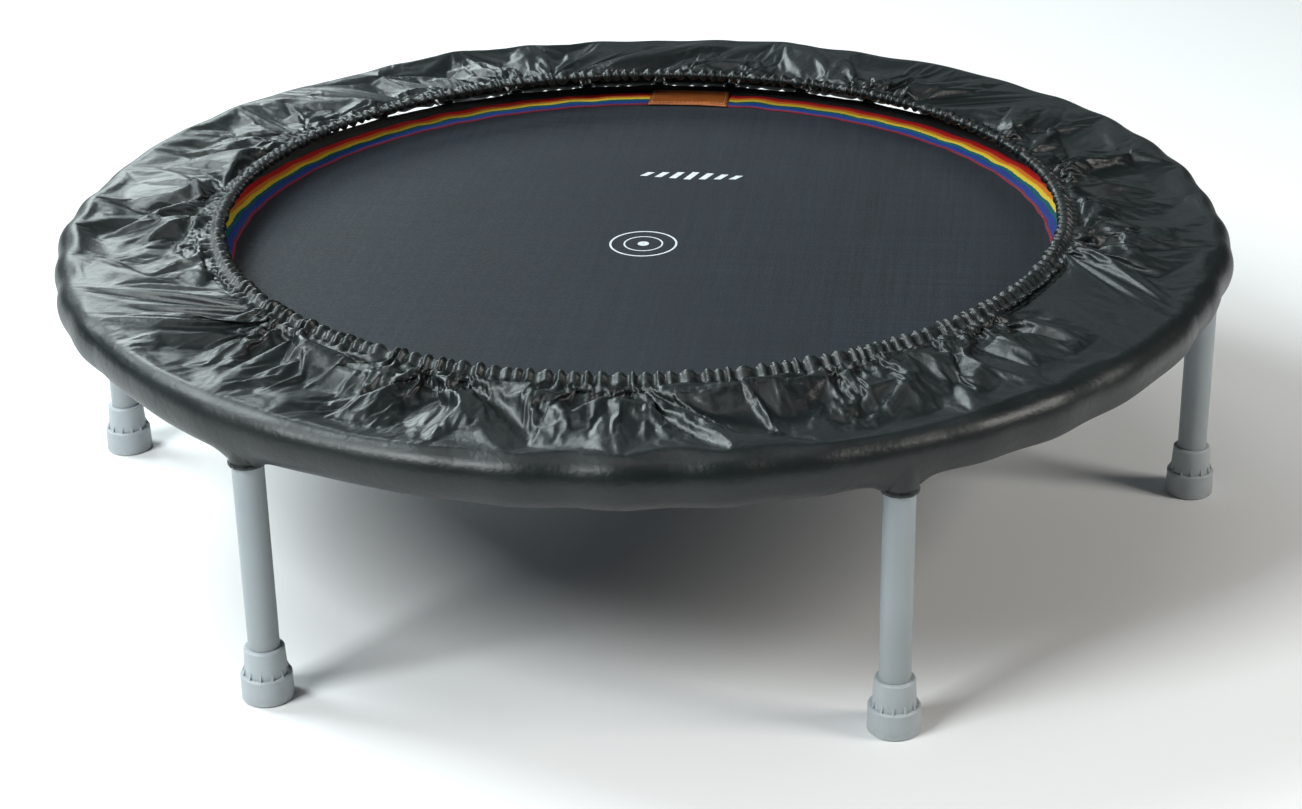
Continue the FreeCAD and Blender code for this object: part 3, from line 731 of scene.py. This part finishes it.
def draw_in(before, after):
    """Cloth simulation: the strip's sewn edge is drawn in to the elastic, and the rest folds."""
    rows, columns = before.shape[:2]
    faces = strip_faces(rows, columns)
    mesh = bpy.data.meshes.new("cover_strip")
    mesh.from_pydata(before.reshape(-1, 3).tolist(), [], faces)
    strip = in_scene("cover_strip", mesh)
    strip.shape_key_add(name="cut")
    drawn = strip.shape_key_add(name="drawn")
    drawn.data.foreach_set("co", after.reshape(-1, 3).ravel())
    drawn.value = 0.0
    drawn.keyframe_insert("value", frame=1)
    drawn.value = 1.0
    drawn.keyframe_insert("value", frame=DRAW_STEPS)
    held = strip.vertex_groups.new(name="held")
    sewn = range((rows - SEWN_ROWS) * columns, rows * columns)
    held.add(list(range(HELD_ROWS * columns)) + list(sewn), 1.0, "REPLACE")
    cloth = strip.modifiers.new("cloth", "CLOTH")
    for name, setting in CLOTH_SETTINGS.items():
        setattr(cloth.settings, name, setting)
    cloth.settings.effector_weights.gravity = 0
    cloth.collision_settings.use_collision = False
    cloth.point_cache.frame_end = DRAW_STEPS + SETTLE_STEPS
    for step in range(1, DRAW_STEPS + SETTLE_STEPS + 1):
        bpy.context.scene.frame_set(step)
    shown = strip.evaluated_get(bpy.context.evaluated_depsgraph_get())
    flat = np.empty(rows * columns * 3)
    shown.data.vertices.foreach_get("co", flat)
    bpy.context.scene.frame_set(1)
    bpy.data.objects.remove(strip)
    bpy.data.meshes.remove(mesh)
    return flat.reshape(rows, columns, 3)


def finer(grid):
    """Twice the columns of a closed grid, on a smooth curve through the old ones."""
    before = np.roll(grid, 1, axis=1)
    after = np.roll(grid, -1, axis=1)
    beyond = np.roll(grid, -2, axis=1)
    middle = (9 * (grid + after) - before - beyond) / 16
    return np.stack([grid, middle], axis=2).reshape(grid.shape[0], -1, 3)


def lay_on_frame(grid):
    """Lift what sank into the frame tube or the springs, and press down what stands too high."""
    radius = np.hypot(grid[:, :, 0], grid[:, :, 1])
    clear = TUBE_RADIUS + FRAME_CLEARANCE
    off = (radius - LEG_CIRCLE) / clear
    tube = RING_MID + clear * np.sqrt(np.clip(1 - off * off, 0, None))
    lowest = np.where(np.abs(off) < 1, tube, SPRING_HIGH + SPRING_CLEARANCE)
    level = grid[:, :, 2]
    level += SOFT_STOP * np.logaddexp(0, (lowest - level) / SOFT_STOP)
    over = level - (COVER_HIGH + FOLD_HEADROOM)
    level -= SOFT_STOP * np.logaddexp(0, over / SOFT_STOP)
    return grid


def round_the_tube(rng, angles, lift):
    """The cover below its rim: round the tube's side and under it to the lower hem."""
    draw_radius = (DRAW_IN + DRAW_OUT) / 2
    draw_level = (DRAW_LOW + DRAW_HIGH) / 2
    outline = (
        from_place((draw_radius, draw_level), (9, 3.4), (3, 3.2), (0, 3), (-3, 0), (0, -3))
        + [(draw_radius + 6 * MM, COVER_LOW + 0.6 * MM)]
        + from_place((LEG_CIRCLE, COVER_LOW), (-6, -0.2), (5, 0.6))
        + from_place((COVER_OUT, RING_MID),
                     (-5, -16.6), (-1.4, -9), (0, -1), (-1.1, 6), (-4, 11.4))
        + [RIM_EDGE]
    )
    section = smooth_path(outline, SIDE_ROWS)[:-1]
    run = distance_along(section)
    phase = angles * HEM_PLEATS + 1.5 * wave(rng, angles, (20, 80), 8)
    pleats = np.abs(np.sin(phase / 2)) ** 0.8
    near_hem = (1 - ease(12 * MM, 34 * MM, run))[:, None]
    near_rim = ease(30 * MM, 62 * MM, run)[:, None]
    swell = lift[None, :] * near_rim + HEM_PLEAT_HEIGHT * (pleats[None, :] - 0.4) * near_hem
    return swept(section, swell, angles[None, :])


def elastic_casing(sewn_row, pleat):
    """The ruffled casing that the elastic runs in, from the seam over and round under it."""
    outline = (
        [(SEAM[0] - 3.2 * MM, ELASTIC_LEVEL + 2.8 * MM)]
        + from_place((ELASTIC_RADIUS, ELASTIC_LEVEL),
                     (0.6, 3.9), (-3.2, 2.2), (-4.2, -0.6), (-1.4, -3.8), (3.4, -3.4))
        + from_place(SEAM, (2, -2.2), (9, -2.6))
    )
    section = smooth_path(outline, CASING_ROWS)
    turn = np.arctan2(sewn_row[:, 1], sewn_row[:, 0])[None, :]
    ruffle = PLEAT_HEIGHT * np.abs(pleat)[None, :] ** 0.8 * np.sign(pleat)[None, :]
    weaker_below = (1 - 0.75 * ease(0.55, 0.8, np.linspace(0, 1, len(section))))[:, None]
    return swept(section, ruffle * weaker_below, turn)


def close_round_legs(points, faces):
    """Draw the cover's underside down round each leg, and cut its leg holes."""
    wall = LEG_RADIUS + LEG_HOLE_GAP
    foot = SLEEVE_LOW + 1.0 * MM
    stretch = (RING_MID - foot) / (RING_MID - COVER_LOW) - 1
    ring = np.hypot(points[:, 0], points[:, 1])
    under_tube = ease(LEG_CIRCLE - 21 * MM, LEG_CIRCLE - 12 * MM, ring)
    cut = np.zeros(len(points), bool)
    for leg in range(LEG_COUNT):
        axis = np.array(on_ring(LEG_CIRCLE, TURN * leg / LEG_COUNT))[:2]
        off = points[:, :2] - axis
        reach = np.hypot(off[:, 0], off[:, 1])
        near = (reach < 50 * MM) & (points[:, 2] < RING_MID)
        pull = under_tube * np.exp(-(np.clip(reach - wall, 0, None) / (9 * MM)) ** 1.4)
        depth = (RING_MID - points[:, 2]) * (1 + stretch * pull)
        points[near, 2] = RING_MID - depth[near]
        high = points[:, 2] - foot
        need = wall + LEG_HOLE_GAP * ease(0, 16 * MM, high)
        cut |= near & (reach < wall) & (high < 2.5 * MM)
        short = near & (reach < need) & (reach > 0.1 * MM)
        points[short, :2] = axis + off[short] * (need / np.maximum(reach, 0.1 * MM))[short, None]
    kept = [face for face in faces if not cut[list(face)].all()]
    used = sorted({corner for face in kept for corner in face})
    place = {corner: k for k, corner in enumerate(used)}
    return points[used], [tuple(place[corner] for corner in face) for face in kept]


def cover_skin():
    """The cover: smooth round the rim, folded over the springs, shirred on its elastic."""
    rng = np.random.default_rng(GATHER_SEED)
    angles = all_round(CLOTH_COLUMNS)
    section = top_section()
    inward = np.linspace(0, 1, CLOTH_ROWS)[:, None]
    drift, pleat = gathers(rng, angles)
    lift = RIM_LIFT + RIM_SWELL * wave(rng, angles, (3, 14), 6)
    lift = np.maximum(lift + RIM_SWELL * wave(rng, angles, (14, 50), 8), -RIM_SWELL)
    before = strip_before_gathering(rng, angles, section)
    gathered = PLEAT_HEIGHT * pleat[None, :] * ease(0.75, 1.0, inward)
    after = ring_grid(
        section[:, 0:1] + 0.4 * lift[None, :] * (1 - inward),
        section[:, 1:2] + 0.8 * lift[None, :] * (1 - inward) + gathered,
        angles[None, :] + drift[None, :] * inward ** 2,
    )
    top = lay_on_frame(finer(draw_in(before, after)))
    fine_angles = all_round(2 * CLOTH_COLUMNS)
    lower = round_the_tube(rng, fine_angles, np.interp(fine_angles, angles, lift, period=TURN))
    casing = elastic_casing(top[-1], np.interp(fine_angles, angles, pleat, period=TURN))
    grid = np.concatenate([lower, top, casing])
    faces = strip_faces(len(grid), 2 * CLOTH_COLUMNS)
    points, faces = close_round_legs(grid.reshape(-1, 3), faces)
    piece = mesh_piece("cover", points, faces, "coated_cover")
    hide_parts("cover_skin")
    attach(piece, "frame")


SLEEVE_COLUMNS = 96
SLEEVE_ROWS = 20
SLEEVE_FOLDS = 9
SLEEVE_FOLD_HEIGHT = 0.7 * MM


def leg_sleeve(leg):
    """The short gathered sleeve where the cover closes round a leg's top."""
    rng = np.random.default_rng(100 + leg)
    outline = from_place((LEG_RADIUS, SLEEVE_LOW), (1.7, 6.0), (1.6, 3.4), (2.4, 1.2),
                         (1.9, -0.9), (1.0, 0.6), (0.9, 8))
    section = smooth_path(outline, SLEEVE_ROWS)
    around = all_round(SLEEVE_COLUMNS)
    folds = np.abs(np.sin(around * SLEEVE_FOLDS + 1.3 * wave(rng, around, (2, 7), 4))) ** 0.8
    low = np.linspace(0, 1, len(section))[:, None]
    folded = SLEEVE_FOLD_HEIGHT * (folds[None, :] - 0.5) * ease(0.1, 0.3, low)
    radius = section[:, 0:1] + folded * (1 - ease(0.45, 0.75, low))
    grid = ring_grid(radius, section[:, 1:2], around[None, :])
    grid += np.array(on_ring(LEG_CIRCLE, TURN * leg / LEG_COUNT))
    faces = strip_faces(len(section), SLEEVE_COLUMNS)
    piece = mesh_piece("leg_sleeve_%d" % (leg + 1), grid.reshape(-1, 3), faces, "coated_cover")
    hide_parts("leg_sleeves")
    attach(piece, "frame")


# ---------------- the mat and what is sewn on it

TAB_PULL = 0.25 * MM
TAB_PULL_RADIUS = 400 * MM
TAB_PULL_REACH = 30 * MM


def mat_fabric():
    """The woven mat, taut, with slight pulls towards its tabs."""
    rings = 90
    columns = 360
    radii = np.linspace(0.0, MAT_OUT - 1 * MM, rings + 1)[1:]
    angles = all_round(columns)
    points = []
    for side in (MAT_HIGH, MAT_LOW):
        points.append((0.0, 0.0, side))
        for radius in radii:
            pull = TAB_PULL * math.exp(-((radius - TAB_PULL_RADIUS) / TAB_PULL_REACH) ** 2)
            for a in angles:
                points.append((radius * math.cos(a), radius * math.sin(a),
                               side + pull * math.cos(a * SPRING_COUNT)))
    block = 1 + rings * columns
    faces = []
    for base, flip in ((0, False), (block, True)):
        for c in range(columns):
            tri = (base, base + 1 + c, base + 1 + (c + 1) % columns)
            faces.append(tri[::-1] if flip else tri)
        for face in strip_faces(rings, columns):
            quad = tuple(base + 1 + i for i in face)
            faces.append(quad if flip else quad[::-1])
    rim = 1 + (rings - 1) * columns
    for c in range(columns):
        d = (c + 1) % columns
        faces.append((rim + c, block + rim + c, block + rim + d, rim + d))
    piece = mesh_piece("mat", points, faces, "woven_mat")
    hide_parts("mat_fabric")
    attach(piece, "mat")


def banded_ring(name, section_at, columns, slot, across=None):
    """A closed band round the mat: section_at(angle) gives its outline as radius and height."""
    rows = len(section_at(0.0))
    angles = all_round(columns)
    grid = np.empty((rows, columns, 3))
    uv = np.empty((rows, columns, 2))
    for c, a in enumerate(angles):
        for r, (radius, height) in enumerate(section_at(a)):
            grid[r, c] = (radius * math.cos(a), radius * math.sin(a), height)
            uv[r, c] = (a, across[r] if across else r / rows)
    piece = mesh_piece(name, grid.reshape(-1, 3), strip_faces(rows, columns, True, True), slot)
    set_uv(piece, uv.reshape(-1, 2))
    return piece


HEM_COLUMNS = 864
TAPE_COLUMNS = 1080
TAPE_ACROSS = [0.0, 0.0, 0.04, 0.14, 0.26, 0.38, 0.5, 0.62, 0.74, 0.86, 0.96, 1.0, 1.0, 0.5]
MAT_GAP = 0.1 * MM
HEM_PLY = 0.7 * MM


def mat_hem():
    """The black hem band folded over the mat's edge, drawn out a little at each tab."""
    rng = np.random.default_rng(21)
    phases = [(rng.integers(20, 60), rng.uniform(0, TURN)) for _ in range(5)]

    def section(angle):
        pull = math.cos((angle - math.radians(5)) * SPRING_COUNT)
        edge = HEM_OUT - 2.4 * MM + 1.9 * MM * pull
        ripple = 0.35 * MM * sum(math.sin(k * angle + p) for k, p in phases) / 2
        top = HEM_HIGH + ripple
        return [
            (HEM_IN + 0.5 * MM, MAT_HIGH + MAT_GAP),
            (HEM_IN, MAT_HIGH + HEM_PLY),
            (HEM_IN + 1.2 * MM, top - 0.15 * MM),
            (HEM_IN + 8 * MM, top),
            ((HEM_IN + edge) / 2, top + 0.2 * MM),
            (edge - 5 * MM, top),
            (edge - 1.2 * MM, top - 0.4 * MM),
            (edge, (HEM_HIGH + HEM_LOW) / 2),
            (edge - 1.2 * MM, HEM_LOW + 0.4 * MM),
            (edge - 5 * MM, HEM_LOW),
            ((HEM_IN + edge) / 2, HEM_LOW),
            (HEM_IN + 1.2 * MM, HEM_LOW),
            (HEM_IN, MAT_LOW - HEM_PLY),
            (HEM_IN + 0.5 * MM, MAT_LOW - MAT_GAP),
            (edge - 8 * MM, MAT_LOW - MAT_GAP),
            (edge - 8 * MM, MAT_HIGH + MAT_GAP),
        ]

    piece = banded_ring("mat_hem_band", section, HEM_COLUMNS, "hem_webbing")
    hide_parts("mat_hem")
    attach(piece, "mat")


def striped_tape():
    """The six-stripe tape, slightly rippled where it is sewn down."""
    rng = np.random.default_rng(5)
    waves = [
        (int(rng.integers(18, 70)), rng.uniform(0, TURN), rng.uniform(0.5, 1.0)) for _ in range(9)
    ]
    width = TAPE_OUT - TAPE_IN

    def section(angle):
        shake = sum(k * math.sin(n * angle + p) for n, p, k in waves) / 4
        ripple = 0.55 * MM * shake
        inner = TAPE_IN + 0.9 * MM * shake
        outer = TAPE_OUT + 0.5 * MM * math.sin(29 * angle)
        rows = []
        for across in TAPE_ACROSS[2:-2]:
            puff = 0.7 * MM * math.sin(math.pi * across) * (1 + 0.6 * shake)
            rows.append((inner + (outer - inner) * across, TAPE_HIGH + puff + ripple * across))
        low = MAT_HIGH + 0.05 * MM
        return (
            [(inner + 0.4 * MM, low), (inner, MAT_HIGH + 0.5 * MM)]
            + rows
            + [(outer, MAT_HIGH + 0.5 * MM), (outer - width / 2, low)]
        )

    piece = banded_ring(
        "striped_tape_band", section, TAPE_COLUMNS, "striped_webbing", TAPE_ACROSS
    )
    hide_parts("striped_tape")
    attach(piece, "mat")


PATCH_EDGE_ROUND = 1.6 * MM
PATCH_STITCH_INSET = 3.2 * MM
PATCH_STITCH_PITCH = 4.2 * MM
PATCH_THREAD = 0.9 * MM


def leather_patch():
    """The leather patch over the tape's joint, edges turned, lying over tape and hem."""
    long_count = 60
    wide_count = 34
    half = PATCH_LENGTH / 2
    thick = PATCH_HIGH - PATCH_LOW
    points = []
    for side in (1, 0):
        for j in range(wide_count + 1):
            v = j / wide_count
            for i in range(long_count + 1):
                u = i / long_count * 2 - 1
                edge = min((1 - abs(u)) * half, min(v, 1 - v) * (PATCH_OUT - PATCH_IN))
                roll = math.sqrt(max(0.0, 1 - max(0.0, 1 - edge / PATCH_EDGE_ROUND) ** 2))
                radius = PATCH_IN + 1 * MM + v * (PATCH_OUT - PATCH_IN - 3 * MM)
                angle = math.pi / 2 - u * half / radius
                from_seam = (edge - PATCH_STITCH_INSET) / (0.7 * MM)
                groove = 0.35 * MM * math.exp(-from_seam ** 2)
                lump = 0.25 * MM * math.sin(u * 5 + v * 3) * math.sin(v * 7 + 1)
                height = PATCH_LOW + 0.2 * MM
                if side:
                    height += thick * (0.25 + 0.75 * roll) - groove + lump
                points.append(on_ring(radius, angle, height))
    row = long_count + 1
    block = row * (wide_count + 1)
    faces = []
    for j in range(wide_count):
        for i in range(long_count):
            a = j * row + i
            quad = (a, a + 1, a + row + 1, a + row)
            faces.append(quad[::-1])
            faces.append(tuple(block + k for k in quad))
    rim = (
        list(range(long_count))
        + [long_count + row * j for j in range(wide_count)]
        + [block - 1 - i for i in range(long_count)]
        + [row * j for j in range(wide_count, 0, -1)]
    )
    for k, here in enumerate(rim):
        there = rim[(k + 1) % len(rim)]
        faces.append((here, there, block + there, block + here))
    piece = mesh_piece("leather_patch_cover", points, faces, "tan_leather")
    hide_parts("leather_patch")
    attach(piece, "mat")


STITCH_SIDES = 5
STITCH_GAP = 1.4 * MM
SEAM_THREAD = 0.7 * MM


def stitch(start, end, thick):
    """One stitch: a short thread that dips at both ends."""
    drop = Vector((0, 0, thick * 0.9))
    path = [
        start - drop,
        start.lerp(end, 0.2),
        start.lerp(end, 0.5) + drop * 0.3,
        start.lerp(end, 0.8),
        end - drop,
    ]
    return tube_along(path, thick / 2, STITCH_SIDES)


def stitch_ring(name, radius, height, length, slot, thread, wobble=0.0):
    """A seam of stitches round the mat."""
    count = int(TURN * radius / (length + STITCH_GAP))
    step = TURN / count
    share = length / (length + STITCH_GAP)
    chunks = []
    for i in range(count):
        a = i * step
        out = radius + wobble * math.sin(a * 31)
        ends = on_ring(out, a, height), on_ring(out, a + step * share, height)
        chunks.append(stitch(*ends, SEAM_THREAD))
    piece = mesh_piece(name, *joined(chunks), slot, thread)
    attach(piece, "mat")


def patch_stitches():
    """The seam round the leather patch."""
    half = PATCH_LENGTH / 2 - PATCH_STITCH_INSET
    low = PATCH_IN + 1 * MM + PATCH_STITCH_INSET
    high = PATCH_OUT - 2 * MM - PATCH_STITCH_INSET
    level = PATCH_HIGH + 0.25 * MM
    corners = [(low, -half), (low, half), (high, half), (high, -half)]
    chunks = []
    for k in range(4):
        (r0, s0), (r1, s1) = corners[k], corners[(k + 1) % 4]
        count = max(4, int(math.hypot(r1 - r0, s1 - s0) / PATCH_STITCH_PITCH))
        for i in range(count):
            ends = []
            for t in ((i + 0.12) / count, (i + 0.86) / count):
                radius = r0 + (r1 - r0) * t
                along = s0 + (s1 - s0) * t
                ends.append(on_ring(radius, math.pi / 2 - along / radius, level))
            chunks.append(stitch(*ends, PATCH_THREAD))
    piece = mesh_piece("patch_stitches", *joined(chunks), "tan_leather", TAN_THREAD)
    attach(piece, "mat")


def flat_shape(outer, inner, level):
    """A thin raised shape between an outer and an inner outline with the same point count."""
    count = len(outer)
    high = level + PRINT_THICK
    points = []
    for ring, height in ((outer, level), (outer, high), (inner, high), (inner, level)):
        points.extend((x, y, height) for x, y in ring)
    return points, strip_faces(4, count, True, True)


def circle_points(x, y, radius, count=72):
    """Points round a circle."""
    return [
        (x + radius * math.cos(TURN * k / count), y + radius * math.sin(TURN * k / count))
        for k in range(count)
    ]


TARGET_MIDDLE = (0.004, -0.020)
TARGET_RINGS_MM = ((30.0, 28.2), (17.5, 16.1), (5.0, 0.6))
BARS_MIDDLE = (0.027, 0.155)
BARS_TILT = math.radians(-2.0)
BAR_COUNT = 7
BAR_PITCH_MM = 14.0
BAR_TALLEST_MM = 20.0
BAR_SHORTER_MM = 3.2
BAR_WIDE = 6.5 * MM
BAR_LEAN = 6.0 * MM
PRINT_THICK = 0.12 * MM


def print_piece(name, chunks):
    """White ink on the mat, from several flat shapes."""
    piece = mesh_piece(name, *joined(chunks), "woven_mat", INK, smooth=False)
    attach(piece, "mat")


def bar_outline(k):
    """The four corners of one slanted bar, where it lies on the mat."""
    from_middle = k - BAR_COUNT // 2
    tall = (BAR_TALLEST_MM - BAR_SHORTER_MM * abs(from_middle)) * MM
    x = from_middle * BAR_PITCH_MM * MM
    foot = x - BAR_LEAN / 2
    head = x + BAR_LEAN / 2
    placed = []
    for px, py in (
        (foot - BAR_WIDE / 2, -tall / 2),
        (foot + BAR_WIDE / 2, -tall / 2),
        (head + BAR_WIDE / 2, tall / 2),
        (head - BAR_WIDE / 2, tall / 2),
    ):
        placed.append((
            BARS_MIDDLE[0] + px * math.cos(BARS_TILT) - py * math.sin(BARS_TILT),
            BARS_MIDDLE[1] + px * math.sin(BARS_TILT) + py * math.cos(BARS_TILT),
        ))
    return placed


def mat_print():
    """Generic marks in white ink: a landing target, and a row of slanted bars."""
    level = MAT_HIGH + 0.03 * MM
    print_piece("mat_print_target", [
        flat_shape(circle_points(*TARGET_MIDDLE, outer * MM),
                   circle_points(*TARGET_MIDDLE, inner * MM), level)
        for outer, inner in TARGET_RINGS_MM
    ])
    bars = []
    for k in range(BAR_COUNT):
        outline = bar_outline(k)
        middle = [sum(corner) / 4 for corner in zip(*outline)]
        core = [
            tuple(m + (c - m) * 0.02 for c, m in zip(corner, middle)) for corner in outline
        ]
        bars.append(flat_shape(outline, core, level))
    print_piece("mat_print_bars", bars)


# ---------------- springs

SPRING_WIRE = 1.8 * MM
SPRING_LOOP = 3.6 * MM
COIL_RADIUS = 4.5 * MM
COIL_PITCH = SPRING_WIRE * 1.06
COIL_STEPS = 14
LOOP_STEPS = 12
LOOP_TURN = TURN * 0.93
LOOP_TO_COIL = 0.6 * MM


def spring(index):
    """One close-wound extension spring with a full loop at each end."""
    angle = TURN * (index + 0.5) / SPRING_COUNT
    level = (SPRING_LOW + SPRING_HIGH) / 2
    inner_loop = SPRING_IN + SPRING_WIRE / 2 + SPRING_LOOP
    outer_loop = SPRING_OUT - SPRING_WIRE / 2 - SPRING_LOOP
    coil_start = inner_loop + SPRING_LOOP + LOOP_TO_COIL
    coil_length = outer_loop - SPRING_LOOP - LOOP_TO_COIL - coil_start
    steps = int(coil_length / COIL_PITCH) * COIL_STEPS
    path = []
    for k in range(LOOP_STEPS + 1):
        a = math.pi * 1.02 - LOOP_TURN * (LOOP_STEPS - k) / LOOP_STEPS
        path.append((inner_loop - SPRING_LOOP * math.cos(a), 0.0, SPRING_LOOP * math.sin(a)))
    for k in range(steps + 1):
        a = TURN * k / COIL_STEPS
        path.append((coil_start + coil_length * k / steps,
                     COIL_RADIUS * math.sin(a), -COIL_RADIUS * math.cos(a)))
    for k in range(LOOP_STEPS + 1):
        a = LOOP_TURN * k / LOOP_STEPS - math.pi * 0.02
        path.append((outer_loop - SPRING_LOOP * math.cos(a), 0.0, -SPRING_LOOP * math.sin(a)))
    c, s = math.cos(angle), math.sin(angle)
    placed = [(r * c - t * s, r * s + t * c, level + z) for r, t, z in path]
    coil = tube_along(placed, SPRING_WIRE / 2, 6)
    piece = mesh_piece("spring_%02d" % (index + 1), *coil, "spring_steel")
    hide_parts("springs_%d" % (index // (SPRING_COUNT // LEG_COUNT) + 1))
    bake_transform(piece)


# ---------------- stage, light and camera

def stage():
    """A plain pale floor."""
    bpy.ops.mesh.primitive_circle_add(vertices=96, radius=14.0, fill_type="NGON")
    floor = bpy.context.object
    floor.name = "floor"
    finish = Finish("studio_floor", 0.75, Specular_IOR_Level=0.2)
    tone = finish.noise(finish.place, 1.4, 3.0)
    finish.colour(finish.mix(tone, (0.84, 0.84, 0.84, 1), (0.87, 0.87, 0.87, 1)))
    floor.data.materials.append(finish.material)


def soft_box(name, place, aim, size, watts, tint):
    """A rectangular soft light."""
    light = bpy.data.lights.new(name, "AREA")
    light.shape = "RECTANGLE"
    light.size, light.size_y = size
    light.energy = watts
    light.color = tint
    lamp = in_scene(name, light)
    lamp.location = place
    lamp.rotation_euler = (Vector(aim) - Vector(place)).to_track_quat("-Z", "Y").to_euler()


def lights():
    """Soft studio light: the left and the front strong, the right and the back weak."""
    world = bpy.data.worlds.new("studio")
    bpy.context.scene.world = world
    world.use_nodes = True
    sky = world.node_tree.nodes["Background"]
    sky.inputs["Color"].default_value = (0.90, 0.94, 1.0, 1)
    sky.inputs["Strength"].default_value = 0.045
    for box in (
        ("window_left", (-2.5, 0.7, 2.9), (-0.1, 0, 0.1), (1.3, 1.3), 105.0, (0.88, 0.98, 1.0)),
        ("window_front", (-2.3, -2.3, 3.1), (0, 0.1, 0.1), (1.6, 1.6), 165.0, (0.94, 0.99, 1.0)),
        ("window_right", (2.8, -0.6, 2.0), (-0.1, 0, 0.2), (0.9, 1.2), 48.0, (1.0, 0.97, 0.91)),
        ("window_back_left", (-1.6, 2.4, 1.35), (-0.4, -0.2, 0.26), (1.1, 0.9), 32.0,
         (0.88, 0.99, 1.0)),
        ("window_back", (0.5, 3.2, 1.5), (0, 0, 0.2), (2.0, 0.5), 3.0, (0.86, 0.96, 1.0)),
        ("overhead", (0, 0, 4.6), (0, 0, 0), (3.0, 3.0), 30.0, (1, 1, 1)),
    ):
        soft_box(*box)
    bpy.context.scene.view_settings.view_transform = "Standard"


CAMERA_AZIMUTH = math.radians(7.7)
CAMERA_PITCH = math.radians(25.09)
CAMERA_ROLL = -0.019
CAMERA_DISTANCE = 2.419
CAMERA_AIM = Vector((0.0053, 0.0007, 0.0646))
CAMERA_LENS = 73.15


def camera():
    """The camera, a little above the mat and almost in front."""
    ahead = Vector((
        -math.sin(CAMERA_AZIMUTH) * math.cos(CAMERA_PITCH),
        math.cos(CAMERA_AZIMUTH) * math.cos(CAMERA_PITCH),
        -math.sin(CAMERA_PITCH),
    ))
    lens = bpy.data.cameras.new("camera")
    lens.lens = CAMERA_LENS
    lens.sensor_width = 36.0
    lens.clip_end = 60.0
    eye = in_scene("camera", lens)
    level = ahead.to_track_quat("-Z", "Y").to_matrix().to_4x4()
    place = Matrix.Translation(CAMERA_AIM - ahead * CAMERA_DISTANCE)
    eye.matrix_world = place @ level @ Matrix.Rotation(CAMERA_ROLL, 4, "Z")
    bpy.context.scene.camera = eye


camera()
stage()
lights()
dress_cad_nodes()
cover_skin()
for leg in range(LEG_COUNT):
    leg_sleeve(leg)
mat_fabric()
mat_hem()
striped_tape()
leather_patch()
patch_stitches()
mat_print()
stitch_ring("tape_seam_inner", TAPE_IN + 1.6 * MM, TAPE_HIGH + 0.25 * MM, 3.0 * MM,
            "striped_webbing", WINE_THREAD, 0.5 * MM)
for seam, seam_radius in (("inner", HEM_IN + 4 * MM), ("outer", HEM_OUT - 8 * MM)):
    stitch_ring("hem_seam_" + seam, seam_radius, HEM_HIGH + 0.2 * MM, 3.2 * MM,
                "hem_webbing", DARK_THREAD)
for index in range(SPRING_COUNT):
    spring(index)
